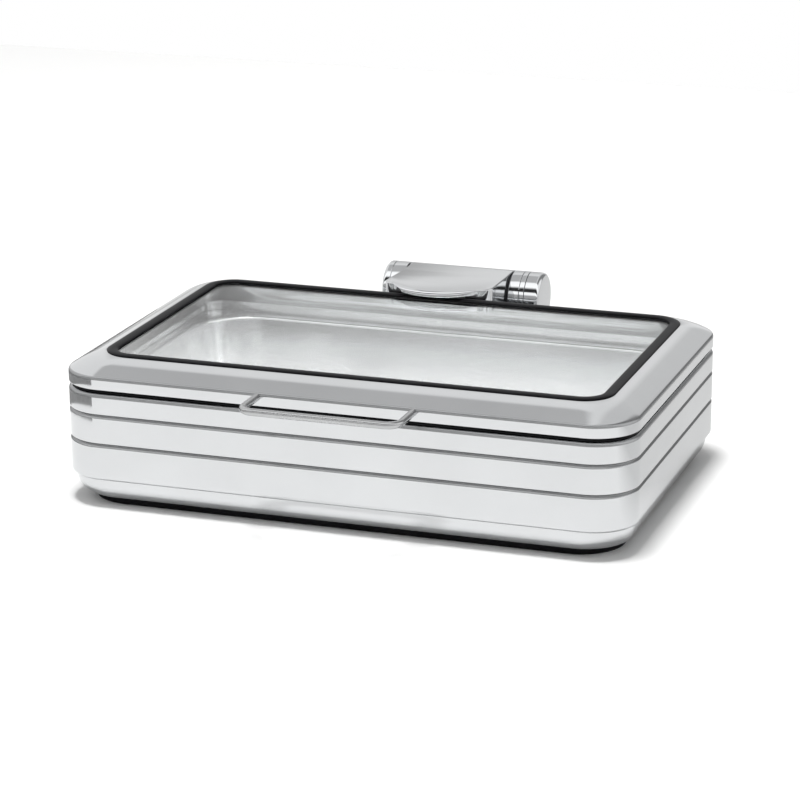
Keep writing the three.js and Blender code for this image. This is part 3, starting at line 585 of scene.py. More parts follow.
def effect_group(name, inputs, fill):
    """The node group of that name, made once. fill gets its tree and inputs and gives its outputs by name."""
    group = bpy.data.node_groups.get(name)
    if group:
        return group
    group = bpy.data.node_groups.new(name, "ShaderNodeTree")
    for label, default in inputs.items():
        socket = group.interface.new_socket(label, in_out="INPUT", socket_type="NodeSocketFloat")
        socket.default_value = default
    results = fill(group, group.nodes.new("NodeGroupInput").outputs)
    for label in results:
        group.interface.new_socket(label, in_out="OUTPUT", socket_type="NodeSocketFloat")
    end = group.nodes.new("NodeGroupOutput")
    for label, value in results.items():
        group.links.new(value, end.inputs[label])
    return group


def add_roughness(group, start, value, low, high):
    """A value spread between the two roughness inputs of a group."""
    return add_spread(group, value, low, high, start["Roughness low"], start["Roughness high"])


def polish_marks():
    """Node group: soft smudges and fine hairlines of a polished or rubbed surface."""
    def fill(group, start):
        place = group.nodes.new("ShaderNodeTexCoord").outputs["Object"]
        smudge = add_noise(group, place, start["Smudge scale"], detail=4.0)
        level_place = add_stretch(group, place, LEVEL_MARKS)
        level = add_noise(group, level_place, start["Hairline scale"], detail=2.0)
        upright_place = add_stretch(group, place, UPRIGHT_MARKS)
        upright = add_noise(group, upright_place, start["Hairline scale"], detail=2.0)
        marks = add_blend(group, level, 0.5, upright)
        mixed = add_blend(group, smudge, SMUDGE_SHARE, marks)
        roughness = add_roughness(group, start, mixed, MIXED_LOW, MIXED_HIGH)
        return {"Roughness": roughness, "Mask": smudge, "Height": marks}

    inputs = {"Smudge scale": 14.0, "Hairline scale": 60.0, "Roughness low": 0.07, "Roughness high": 0.14}
    return effect_group("Polish marks", inputs, fill)


def brushed_grain():
    """Node group: long fine grain of brushed steel and drawn sheet."""
    def fill(group, start):
        place = group.nodes.new("ShaderNodeTexCoord").outputs["Object"]
        grain = add_noise(group, add_stretch(group, place, LONG_GRAIN), start["Scale"], detail=3.0)
        cloud = add_noise(group, place, GRAIN_CLOUD_SCALE, detail=3.0)
        mixed = add_blend(group, grain, GRAIN_SHARE, cloud)
        roughness = add_roughness(group, start, mixed, MIXED_LOW, MIXED_HIGH)
        return {"Roughness": roughness, "Mask": mixed, "Height": grain}

    return effect_group("Brushed grain", {"Scale": 40.0, "Roughness low": 0.24, "Roughness high": 0.4}, fill)


def fine_speckle():
    """Node group: fine even speckle of moulded rubber, plastic and card."""
    def fill(group, start):
        place = group.nodes.new("ShaderNodeTexCoord").outputs["Object"]
        speckle = add_noise(group, place, start["Scale"], detail=2.0)
        cloud = add_noise(group, place, SPECKLE_CLOUD_SCALE, detail=3.0)
        roughness = add_roughness(group, start, cloud, CLOUD_LOW, CLOUD_HIGH)
        return {"Roughness": roughness, "Mask": cloud, "Height": speckle}

    return effect_group("Fine speckle", {"Scale": 900.0, "Roughness low": 0.35, "Roughness high": 0.5}, fill)


def level_band():
    """Node group: a mask that is one near a height, with soft edges."""
    def fill(group, start):
        above = add_math(group, "SUBTRACT", add_places(group)["Z"], start["Height"])
        away = add_math(group, "ABSOLUTE", above, 0)
        full = add_math(group, "SUBTRACT", start["Half width"], start["Softness"])
        return {"Mask": add_spread(group, away, start["Half width"], full)}

    return effect_group("Level band", {"Height": 0.1, "Half width": 0.002, "Softness": 0.0004}, fill)


# Materials

# Greatest roughness divided by the least
POLISHED_RATIO = 1.8
GROUND_RATIO = 1.6
DRAWN_RATIO = 2
# Heights of relief in metres
FINE_RELIEF = 0.0001
DRAWN_RELIEF = 0.0003


def shaded(base, factor):
    """A colour made darker or lighter by a factor."""
    return tuple(min(1.0, part * factor) for part in base)


def surface(name, effect, base, shades, roughness, relief=None, values=None, sockets=None, extra=None):
    """The material of that name, made once. An effect group drives its colour, roughness and relief.

    shades are the darkest and lightest shares of the base colour, roughness its least and its greatest value,
    relief a bump's height in metres and its strength, values the group's other inputs, sockets the shader's
    plain values, and extra a function that adds nodes to the tree.
    """
    material = bpy.data.materials.get(name)
    if material:
        return material
    material = bpy.data.materials.new(name)
    material.use_nodes = True
    tree = material.node_tree
    tree.nodes.clear()
    shader = tree.nodes.new("ShaderNodeBsdfPrincipled")
    output = tree.nodes.new("ShaderNodeOutputMaterial")
    tree.links.new(shader.outputs[0], output.inputs["Surface"])
    for label, value in (sockets or {}).items():
        shader.inputs[label].default_value = value
    own = {"Roughness low": roughness[0], "Roughness high": roughness[1], **(values or {})}
    marks = add_effect(tree, effect, own)
    ramp = tree.nodes.new("ShaderNodeValToRGB")
    for element, position, shade in zip(ramp.color_ramp.elements, (CLOUD_LOW, CLOUD_HIGH), shades):
        element.position = position
        element.color = (*shaded(base, shade), 1)
    tree.links.new(marks.outputs["Mask"], ramp.inputs[0])
    tree.links.new(ramp.outputs[0], shader.inputs["Base Color"])
    tree.links.new(marks.outputs["Roughness"], shader.inputs["Roughness"])
    if relief:
        node = tree.nodes.new("ShaderNodeBump")
        node.inputs["Distance"].default_value = relief[0]
        node.inputs["Strength"].default_value = relief[1]
        tree.links.new(marks.outputs["Height"], node.inputs["Height"])
        tree.links.new(node.outputs[0], shader.inputs["Normal"])
    if extra:
        extra(tree, shader)
    return material


def add_effect(tree, group, values):
    """A group node in a material's tree with its own values."""
    node = tree.nodes.new("ShaderNodeGroup")
    node.node_tree = group
    for label, value in values.items():
        node.inputs[label].default_value = value
    return node


def lay_over(tree, shader, amount, colour, blend_type):
    """Lays a colour over the shader's colour by an amount."""
    under = shader.inputs["Base Color"].links[0].from_socket
    over = add_mix(tree, amount, under, colour, blend_type)
    tree.links.new(over, shader.inputs["Base Color"])


def polished_steel(finish, name="Polished steel", extra=None):
    """Mirror-polished stainless steel with faint smudges and hairlines."""
    return surface(
        name, polish_marks(), finish.polished, shades=(0.97, 1.02), extra=extra, relief=(FINE_RELIEF, 0.02),
        roughness=(finish.polish_roughness, finish.polish_roughness * POLISHED_RATIO),
        sockets={"Metallic": 1.0},
    )


def painted_shade_steel(finish, name, bands):
    """Polished steel with rougher bands darkened as painted shade, as (height, half width, brightness share),
    all apart.
    """
    def add_painted_shade_bands(tree, shader):
        brightness = 1.0
        roughness = shader.inputs["Roughness"].links[0].from_socket
        for height, half_width, painted_brightness_share in bands:
            values = {"Height": height, "Half width": half_width}
            band = add_effect(tree, level_band(), values).outputs["Mask"]
            # Painted shade: each band takes this share off the steel's colour
            loss = add_math(tree, "MULTIPLY", band, 1 - painted_brightness_share)
            brightness = add_math(tree, "SUBTRACT", brightness, loss)
            dullness = add_math(tree, "MULTIPLY", band, finish.band_roughness)
            roughness = add_math(tree, "MAXIMUM", roughness, dullness)
        lay_over(tree, shader, 1.0, brightness, "MULTIPLY")
        tree.links.new(roughness, shader.inputs["Roughness"])

    return polished_steel(finish, name, add_painted_shade_bands)


def body_steel(settings):
    """Polished steel with rougher grooves and a rougher rolled edge, darkened as painted shade in place of
    their darker reflections.
    """
    shell = settings.shell
    finish = settings.finish
    reach = shell.groove_opening / 2 + shell.groove_spill
    heights = (shell.groove_low, shell.groove_high)
    grooves = [(SHELL_LOW.z + height, reach, finish.groove_painted_shade) for height in heights]
    rim = (SHELL_HIGH.z - shell.rim_round / 2, shell.rim_round / 2, finish.bend_painted_shade)
    return painted_shade_steel(finish, "Body steel", [*grooves, rim])


def lid_steel(settings):
    """Polished steel with a rougher shoulder, darkened as painted shade in place of its darker reflection."""
    lid = settings.lid
    rise = lid.shoulder_radius * math.sin(lid.shoulder_turn)
    shoulder = (LID_LOW.z + lid.fascia_flat + rise / 2, rise / 2, settings.finish.bend_painted_shade)
    return painted_shade_steel(settings.finish, "Lid steel", [shoulder])


def rod_steel_with_painted_shade(finish):
    """Ground steel rod of the handle, a little duller than the polished sheet and darker as painted shade in
    place of its darker reflections.
    """
    return surface(
        "Ground rod", polish_marks(), finish.rod, shades=(0.94, 1.04), relief=(FINE_RELIEF, 0.05),
        roughness=(finish.rod_roughness, finish.rod_roughness * GROUND_RATIO), sockets={"Metallic": 1.0},
    )


def satin_steel(finish):
    """Satin stainless steel of the pans and the hidden sheets."""
    return surface(
        "Satin steel", brushed_grain(), finish.satin, shades=(0.93, 1.04), relief=(FINE_RELIEF, 0.1),
        roughness=(finish.satin_roughness, finish.satin_roughness * GROUND_RATIO),
        sockets={"Metallic": finish.satin_metallic},
    )


def drawn_steel(finish):
    """Bright drawn steel of the lid's liner, with long streaks."""
    return surface(
        "Drawn steel", brushed_grain(), finish.drawn, shades=(0.8, 1.06), relief=(DRAWN_RELIEF, 0.25),
        roughness=(finish.drawn_roughness, finish.drawn_roughness * DRAWN_RATIO), values={"Scale": 22.0},
        sockets={"Metallic": 1.0},
    )


def plain_steel(finish):
    """Zinc-plated steel of the screws and hidden plates."""
    return surface(
        "Plain steel", brushed_grain(), finish.plain, shades=(0.85, 1.1), relief=(FINE_RELIEF, 0.15),
        roughness=(0.3, 0.5), values={"Scale": 90.0}, sockets={"Metallic": 1.0},
    )


def black_rubber(finish):
    """Black silicone of the seals and the foot band."""
    return surface(
        "Black silicone", fine_speckle(), finish.rubber, shades=(0.7, 1.5), relief=(FINE_RELIEF, 0.1),
        roughness=(0.3, 0.4), sockets={"Specular IOR Level": 0.05},
    )


def dark_plastic(finish):
    """Dark moulded plastic of the washers and bushes."""
    return surface(
        "Dark plastic", fine_speckle(), finish.plastic, shades=(0.8, 1.3), relief=(FINE_RELIEF, 0.2),
        roughness=(0.4, 0.55), values={"Scale": 600.0},
    )


def window_glass(finish):
    """Clear tempered glass with faint wiping marks, which lets light from the lamps through."""
    def let_lamps_through(tree, shader):
        output = shader.outputs[0].links[0].to_node
        shadow = tree.nodes.new("ShaderNodeLightPath").outputs["Is Shadow Ray"]
        through = tree.nodes.new("ShaderNodeBsdfTransparent").outputs[0]
        tree.links.new(add_shader_mix(tree, shadow, shader.outputs[0], through), output.inputs["Surface"])

    return surface(
        "Window glass", polish_marks(), finish.glass, shades=(0.995, 1.0), roughness=(0.0, 0.02),
        values={"Smudge scale": 9.0}, sockets={"Transmission Weight": 1.0, "IOR": 1.47},
        extra=let_lamps_through,
    )


# Body, seals and pans

BOWL_STEPS = 14
STEP_STEPS = 8
RIM_STEPS = 10
# Roundings of the moulded strips
FINE_EDGE = 0.0003
FOOT_EDGE = 0.0008
GASKET_SHOULDER = 0.001
GASKET_CROWN = 0.0015


def shell_mouth_inset(settings):
    """How far in from the rim the shell's top flange reaches."""
    recess = FOOD_HIGH.x - FOOD_LOW.x + 2 * settings.pans.recess_gap
    return (RIM_WIDTH - recess) / 2 - settings.pans.sheet - settings.lid.seat_gap


def shell_section(settings):
    """The shell's wall as a closed section, from the bottom of the outer face round to the bottom flange."""
    shell = settings.shell
    bottom = SHELL_LOW.z
    top = SHELL_HIGH.z
    sheet = shell.sheet
    bowl_top = bottom + shell.bowl_rise
    step_top = bowl_top + shell.step_rise
    bowl_middle = (shell.step_inset + shell.bowl_inset, bowl_top)
    bowl = arc(bowl_middle, (-shell.bowl_inset, -shell.bowl_rise), QUARTER, 0, BOWL_STEPS)
    step_middle = (shell.step_inset, step_top)
    step = arc(step_middle, (-shell.step_inset, -shell.step_rise), QUARTER, 0, STEP_STEPS)[1:]
    groove = (
        (0, -shell.groove_opening / 2), (shell.groove_depth, -shell.groove_floor / 2),
        (shell.groove_depth, shell.groove_floor / 2), (0, shell.groove_opening / 2),
    )
    line = [(0, step_top, 0)]
    for height in (shell.groove_low, shell.groove_high):
        line += [(inset, bottom + height + above, shell.groove_round) for inset, above in groove]
    radius = shell.rim_round
    line.append((0, top - radius, 0))
    grooves = rounded(line)[1:-1]
    rim = arc((radius, top - radius), (-radius, radius), 0, QUARTER, RIM_STEPS)
    land = radius + shell.rim_land
    ledge = top - shell.joggle
    mouth = shell_mouth_inset(settings)
    flange = shell.step_inset + shell.bowl_inset + shell.flange
    section = bowl + step + grooves + rim
    section += [(land, top), (land, ledge), (mouth, ledge), (mouth, ledge - sheet), (sheet, ledge - sheet)]
    section += [(inset + sheet, height) for inset, height in reversed(step + grooves[:-1])]
    section += [(inset, height + sheet) for inset, height in reversed(bowl[1:-1])]
    return section + [(flange, bottom + sheet), (flange, bottom)]


class DISH_OT_body(bpy.types.Operator):
    """Makes the body shell."""

    bl_idname = "dish.body"
    bl_label = "Body shell"

    def execute(self, context):
        settings = context.scene.dish
        rim = rim_outline(settings)
        foot = foot_outline(settings)

        def outline_at(inset, height):
            rise = min(1.0, max(0.0, (height - SHELL_LOW.z) / settings.shell.bowl_rise))
            return between(grown(foot, -inset), grown(rim, -inset), math.sin(math.acos(1 - rise)))

        piece("body_shell_pressing", [swept(shell_section(settings), outline_at)], "base", ["body_shell"],
              body_steel(settings))
        return {"FINISHED"}


class DISH_OT_rubber(bpy.types.Operator):
    """Makes the foot band and the gasket under the lid."""

    bl_idname = "dish.rubber"
    bl_label = "Foot band and gasket"

    def execute(self, context):
        settings = context.scene.dish
        shell = settings.shell
        foot = foot_outline(settings)
        near = shell.foot_inset
        far = near + shell.foot_width
        band = rounded([
            (near, FOOT_LOW.z, FOOT_EDGE), (near, FOOT_HIGH.z, FINE_EDGE),
            (far, FOOT_HIGH.z, FINE_EDGE), (far, FOOT_LOW.z, FOOT_EDGE),
        ])
        piece("foot_band", [swept(band, lambda inset, height: grown(foot, -inset))], "base", ["foot_ring"],
              black_rubber(settings.finish))
        rim = rim_outline(settings)
        near = shell.gasket_inset
        far = near + shell.gasket_width
        half_way = GASKET_LOW.z + (GASKET_HIGH.z - GASKET_LOW.z) / 2
        lip = rounded([
            (near, GASKET_LOW.z, FINE_EDGE), (near, half_way, GASKET_SHOULDER),
            ((near + far) / 2, GASKET_HIGH.z, GASKET_CROWN),
            (far, half_way, GASKET_SHOULDER), (far, GASKET_LOW.z, FINE_EDGE),
        ])
        piece("rim_gasket_moulding", [swept(lip, lambda inset, height: grown(rim, -inset))], "base",
              ["rim_gasket"], black_rubber(settings.finish))
        return {"FINISHED"}


# Shares of a pan's sheet that round off its flange's edge, in and down
EDGE_IN_SHARE = 0.4
EDGE_DOWN_SHARE = 0.3
MOUTH_STEPS = 8
HEEL_STEPS = 10
RECESS_EDGE = 0.0006


def pan_rings(pans, flange, mouth, floor_top, flange_top, draft, mouth_round):
    """Rings of a pressed pan: its underside from the floor up, its flange's edge, its inside from the top."""
    sheet = pans.sheet
    heel = pans.heel

    def lean(height):
        return draft * (flange_top - height) / (flange_top - floor_top)

    heel_lean = lean(floor_top + heel)
    under = []
    for angle in quarter_angles(HEEL_STEPS):
        inset = heel_lean + heel - (heel + sheet) * math.sin(angle)
        under.append(ring(grown(mouth, -inset), floor_top - sheet + (heel + sheet) * (1 - math.cos(angle))))
    for angle in quarter_angles(MOUTH_STEPS):
        height = flange_top - sheet - mouth_round * (1 - math.sin(angle))
        under.append(ring(grown(mouth, sheet + mouth_round * (1 - math.cos(angle)) - lean(height)), height))
    edge = [
        ring(grown(flange, -EDGE_IN_SHARE * sheet), flange_top - sheet),
        ring(flange, flange_top - (1 - EDGE_DOWN_SHARE) * sheet),
        ring(flange, flange_top - EDGE_DOWN_SHARE * sheet),
        ring(grown(flange, -EDGE_IN_SHARE * sheet), flange_top),
    ]
    inside = [ring(grown(mouth, mouth_round), flange_top)]
    for angle in quarter_angles(MOUTH_STEPS)[1:]:
        height = flange_top - mouth_round * (1 - math.cos(angle))
        inside.append(ring(grown(mouth, mouth_round * (1 - math.sin(angle)) - lean(height)), height))
    for angle in quarter_angles(HEEL_STEPS):
        inset = heel_lean + heel * (1 - math.cos(angle))
        inside.append(ring(grown(mouth, -inset), floor_top + heel * (1 - math.sin(angle))))
    return under, edge, inside


class DISH_OT_pans(bpy.types.Operator):
    """Makes the food pan and the water pan."""

    bl_idname = "dish.pans"
    bl_label = "Pans"

    def execute(self, context):
        settings = context.scene.dish
        pans = settings.pans
        sheet = pans.sheet
        flange = (FOOD_HIGH.x - FOOD_LOW.x, FOOD_HIGH.y - FOOD_LOW.y, pans.food_corner, BODY_Y)
        mouth = (*(side - 2 * pans.food_flange for side in flange[:2]), pans.food_mouth_corner, BODY_Y)
        under, edge, inside = pan_rings(
            pans, flange, mouth, FOOD_LOW.z + sheet, FOOD_HIGH.z, pans.food_draft, pans.mouth_round
        )
        piece("food_pan_pressing", [loft(under + edge + inside, False)], "food_pan", ["food_pan"],
              satin_steel(settings.finish))
        recess = grown(flange, pans.recess_gap)
        mouth = (*(side - 2 * pans.ledge_width for side in recess[:2]), pans.ledge_corner, BODY_Y)
        ledge = SHELL_HIGH.z - pans.food_recess - sheet - settings.lid.seat_gap
        under, edge, inside = pan_rings(
            pans, recess, mouth, WATER_LOW.z + sheet, ledge, pans.water_draft, pans.ledge_round
        )
        rim_edge = settings.shell.rim_round + settings.shell.rim_land + settings.lid.seat_gap
        top_flange = grown(rim_outline(settings), -rim_edge)
        top = WATER_HIGH.z
        edge = [
            ring(grown(recess, sheet), ledge - sheet),
            ring(grown(recess, sheet), top - sheet),
            ring(top_flange, top - sheet),
            ring(top_flange, top),
            ring(grown(recess, RECESS_EDGE), top),
            ring(recess, top - RECESS_EDGE),
            ring(recess, ledge + RECESS_EDGE),
            ring(grown(recess, -RECESS_EDGE), ledge),
        ]
        piece("water_pan_pressing", [loft(under + edge + inside, False)], "base", ["water_pan"],
              satin_steel(settings.finish))
        return {"FINISHED"}


# Lid, window and handle

SHOULDER_STEPS = 12
SLOPE_STEPS = 22
HEM_STEPS = 5
LINER_STEPS = 8
LINER_EDGE = 0.001


def slope_height(settings, amount):
    """Height of the lid's slope at a share of the way from the shoulder to the seal."""
    lid = settings.lid
    start = LID_LOW.z + lid.fascia_flat + lid.shoulder_radius * math.sin(lid.shoulder_turn)
    rise = LID_HIGH.z - start
    return start + rise * amount * (1 + lid.slope_fullness * (1 - amount))


def lid_slope(settings, sheet):
    """Rings of the lid's outer face from the fascia to the seal, or of the face a sheet's depth under it."""
    lid = settings.lid
    rim = rim_outline(settings)
    seal_outer = grown(window_outline(settings), lid.seal_half_width)
    radius = lid.shoulder_radius - sheet
    rings = []
    for step in range(SHOULDER_STEPS + 1):
        angle = lid.shoulder_turn * step / SHOULDER_STEPS
        inset = lid.shoulder_radius - radius * math.cos(angle)
        rings.append(ring(grown(rim, -inset), LID_LOW.z + lid.fascia_flat + radius * math.sin(angle)))
    shoulder_end = grown(rim, -lid.shoulder_radius * (1 - math.cos(lid.shoulder_turn)))
    for step in range(1, SLOPE_STEPS + 1):
        amount = step / SLOPE_STEPS
        rings.append(ring(between(shoulder_end, seal_outer, amount), slope_height(settings, amount) - sheet))
    return rings


def frame_rings(settings):
    """The lid frame's section all round: hem, fascia, shoulder, slope and lip, out and back."""
    lid = settings.lid
    rim = rim_outline(settings)
    sheet = lid.sheet
    lip_end = grown(window_outline(settings), lid.seal_half_width - lid.seal_grip)
    hem = arc((lid.hem_round, lid.hem_round), (-lid.hem_round, -lid.hem_round), QUARTER, 0, HEM_STEPS)
    return [
        *(ring(grown(rim, -inset), LID_LOW.z + height) for inset, height in hem),
        *lid_slope(settings, 0),
        ring(lip_end, LID_HIGH.z),
        ring(lip_end, LID_HIGH.z - sheet),
        *reversed(lid_slope(settings, sheet)),
        ring(grown(rim, -sheet), LID_LOW.z + sheet),
        ring(grown(rim, -lid.hem), LID_LOW.z + sheet),
        ring(grown(rim, -lid.hem), LID_LOW.z),
    ]


def liner_rings(settings):
    """The liner's section all round: flange on the hem, outer wall, floor and the wall up to the seal."""
    lid = settings.lid
    rim = rim_outline(settings)
    sheet = lid.liner_sheet
    hem_top = LID_LOW.z + lid.sheet + lid.seat_gap
    flange = grown(rim, -lid.sheet - lid.seat_gap)
    upright = grown(rim, -lid.liner_upright)
    upright_in = grown(rim, -lid.liner_upright - sheet)
    foot = grown(rim, -lid.liner_inset)
    low = LINER_LOW.z
    top = LINER_HIGH.z
    wall_top = grown(window_outline(settings), -lid.seal_half_width + lid.seal_skirt_inset + sheet)
    wall_top_in = grown(wall_top, -sheet)
    shown_wall = []
    for step in range(1, LINER_STEPS):
        amount = step / LINER_STEPS
        shown_wall.append(ring(between(wall_top_in, foot, amount), top + (low + LINER_EDGE - top) * amount))
    return [
        ring(flange, hem_top),
        ring(flange, hem_top + sheet),
        ring(upright_in, hem_top + sheet),
        ring(upright_in, low + sheet),
        ring(grown(rim, -lid.liner_inset + sheet), low + sheet),
        ring(wall_top, top),
        ring(wall_top_in, top),
        *shown_wall,
        ring(grown(foot, FINE_EDGE), low + FINE_EDGE),
        ring(grown(foot, LINER_EDGE), low),
        ring(upright, low),
        ring(upright, hem_top),
    ]


class DISH_OT_lid(bpy.types.Operator):
    """Makes the lid frame and its liner."""

    bl_idname = "dish.lid"
    bl_label = "Lid frame and liner"

    def execute(self, context):
        settings = context.scene.dish
        piece("lid_frame_pressing", [loft(frame_rings(settings), True)], "lid", ["lid_frame"],
              lid_steel(settings))
        piece("lid_liner_pressing", [loft(liner_rings(settings), True)], "lid", ["lid_liner"],
              drawn_steel(settings.finish))
        return {"FINISHED"}


CROWN_STEPS = 18
GLASS_EDGE = 0.0005


class DISH_OT_window(bpy.types.Operator):
    """Makes the window glass and its seal."""

    bl_idname = "dish.window"
    bl_label = "Window"

    def execute(self, context):
        settings = context.scene.dish
        lid = settings.lid
        window = window_outline(settings)
        edge = grown(window, -lid.seal_web - lid.seat_gap)
        face = grown(edge, -GLASS_EDGE)
        rings = [
            ring(face, GLASS_LOW.z), ring(edge, GLASS_LOW.z + GLASS_EDGE),
            ring(edge, GLASS_HIGH.z - GLASS_EDGE), ring(face, GLASS_HIGH.z),
        ]
        piece("window_pane", [loft(rings, False)], "lid", ["window_glass"],
              window_glass(settings.finish))
        half = lid.seal_half_width
        web = lid.seal_web
        skirt = half - lid.seal_skirt_inset
        lip_top = LID_HIGH.z + lid.seat_gap
        lip_bottom = LID_HIGH.z - lid.sheet - lid.seat_gap
        glass_top = GLASS_HIGH.z + lid.seat_gap
        glass_bottom = GLASS_LOW.z - lid.seat_gap
        crown = arc((0, lip_top), (-half, SEAL_HIGH.z - lip_top), 0, 2 * QUARTER, CROWN_STEPS)
        section = crown + [
            (half, glass_top), (web, glass_top), (web, glass_bottom), (skirt, glass_bottom),
            (skirt, SEAL_LOW.z), (-web, SEAL_LOW.z), (-skirt, lip_bottom - lid.seal_skirt),
            (-skirt, lip_bottom), (-web, lip_bottom), (-web, lip_top),
        ]
        piece("window_seal_moulding", [swept(section, lambda inset, height: grown(window, -inset))], "lid",
              ["window_seal"], black_rubber(settings.finish))
        return {"FINISHED"}


BEND_STEPS = 18


def lid_face_inset(settings, height):
    """How far the fascia and shoulder stand back from the rim's outline at a height."""
    lid = settings.lid
    over = max(0.0, height - LID_LOW.z - lid.fascia_flat)
    over = min(over, lid.shoulder_radius * math.sin(lid.shoulder_turn))
    return lid.shoulder_radius - math.sqrt(lid.shoulder_radius ** 2 - over ** 2)


def handle_stations(settings, radius):
    """The rod's middle line from its left end round to its right end, as (x, y, heading)."""
    left = HANDLE_LOW.x + radius
    right = HANDLE_HIGH.x - radius
    front = HANDLE_LOW.y + radius
    face = BODY_Y - RIM_DEPTH / 2
    bend = settings.handle.bend
    stations = [(left, face, -QUARTER)]
    for angle in quarter_angles(BEND_STEPS):
        across = left + bend * (1 - math.cos(angle))
        stations.append((across, front + bend * (1 - math.sin(angle)), angle - QUARTER))
    for angle in quarter_angles(BEND_STEPS):
        across = right - bend * (1 - math.sin(angle))
        stations.append((across, front + bend * (1 - math.cos(angle)), angle))
    return stations + [(right, face, QUARTER)]


class DISH_OT_handle(bpy.types.Operator):
    """Makes the handle from one bent round rod."""

    bl_idname = "dish.handle"
    bl_label = "Handle"

    def execute(self, context):
        settings = context.scene.dish
        radius = (HANDLE_HIGH.z - HANDLE_LOW.z) / 2
        height = (HANDLE_HIGH.z + HANDLE_LOW.z) / 2
        stations = handle_stations(settings, radius)
        rings = []
        for station in stations:
            x, y, heading = station
            at_end = station in (stations[0], stations[-1])
            one = []
            for angle in full_angles(settings.handle.sides):
                across = radius * math.cos(angle)
                z = height + radius * math.sin(angle)
                back = lid_face_inset(settings, z) - settings.lid.seat_gap if at_end else 0
                one.append(Vector((x - across * math.sin(heading), y + across * math.cos(heading) + back, z)))
            rings.append(one)
        piece("handle_rod", [loft(rings, False)], "lid", ["handle"],
              rod_steel_with_painted_shade(settings.finish))
        return {"FINISHED"}


# Hinge and screws

# Points of the cover seen from above, along each side and along half of the front
SIDE_STEPS = 30
FRONT_STEPS = 24
PLAN_CORNER_STEPS = 12
UNDER_STEPS = 8
UPPER_STEPS = 14
# How much faster than the bulge the rounding of the plate's upper edge grows to the front
EDGE_GROWTH = 1.6
# Room between the neck's straight part and the plate's underside
NECK_ROOM = 0.001


def side_lean(settings, x, y):
    """How far the cover's sides lean to the left at a place."""
    hinge = settings.hinge
    amount = max(0.0, HINGE_Y - y - HINGE_RADIUS) / (HINGE_Y - COVER_LOW.y - HINGE_RADIUS)
    across = (x - STRETCH_LOW) / (STRETCH_HIGH - STRETCH_LOW)
    return amount * (hinge.flare_left + (hinge.taper_right - hinge.flare_left) * across)


def cover_plan(settings):
    """Plan points of the cover round its front, as (x, y, outward x, outward y, bulge share)."""
    hinge = settings.hinge
    middle = (STRETCH_LOW + STRETCH_HIGH) / 2
    straight = (STRETCH_HIGH - STRETCH_LOW) / 2 - hinge.corner
    front_y = COVER_LOW.y + hinge.bulge
    corner_y = front_y + hinge.corner
    sides = [HINGE_Y + (corner_y - HINGE_Y) * step / SIDE_STEPS for step in range(1, SIDE_STEPS)]
    outward = [(math.cos(angle), -math.sin(angle)) for angle in quarter_angles(PLAN_CORNER_STEPS)]

    def corner_point(side, out_x, out_y):
        x = middle + side * (straight + hinge.corner * out_x)
        return x, corner_y + hinge.corner * out_y, side * out_x, out_y, 0.0

    points = [(STRETCH_HIGH, HINGE_Y, 1, 0, 0.0), (STRETCH_LOW, HINGE_Y, -1, 0, 0.0)]
    points += [(STRETCH_LOW, y, -1, 0, 0.0) for y in sides]
    points += [corner_point(-1, out_x, out_y) for out_x, out_y in outward]
    for step in range(1 - FRONT_STEPS, FRONT_STEPS):
        part = step / FRONT_STEPS
        points.append((middle + part * straight, front_y, 0, -1, 1 - part * part))
    points += [corner_point(1, out_x, out_y) for out_x, out_y in reversed(outward)]
    return points + [(STRETCH_HIGH, y, 1, 0, 0.0) for y in reversed(sides)]


def plate_top(settings, y):
    """Height of the cover's upper face at a place."""
    return HINGE_Z + HINGE_RADIUS - settings.hinge.fall * (HINGE_Y - y) / (HINGE_Y - COVER_LOW.y)


def lid_surface(settings, y):
    """Height of the lid's outer face behind the window at a place."""
    lid = settings.lid
    window = window_outline(settings)
    seal_rear = window[3] + window[1] / 2 + lid.seal_half_width
    rear = BODY_Y + RIM_DEPTH / 2
    shoulder = rear - lid.shoulder_radius * (1 - math.cos(lid.shoulder_turn))
    if y <= shoulder:
        return slope_height(settings, (shoulder - y) / (shoulder - seal_rear))
    if y < rear:
        bend = lid.shoulder_radius - (rear - y)
        return LID_LOW.z + lid.fascia_flat + math.sqrt(lid.shoulder_radius ** 2 - bend ** 2)
    return LID_LOW.z + settings.hinge.neck_foot - lid.seat_gap


def cover_ring(settings, inset_at, bulge, height_at):
    """One ring of the cover. Inset and height come from a plan point's bulge share, the height from y too."""
    points = []
    for x, y, out_x, out_y, swell in cover_plan(settings):
        inset = inset_at(swell)
        at_x = x - out_x * inset
        at_y = y - out_y * inset - bulge * swell
        points.append(Vector((at_x - side_lean(settings, at_x, at_y), at_y, height_at(at_y, swell))))
    return points


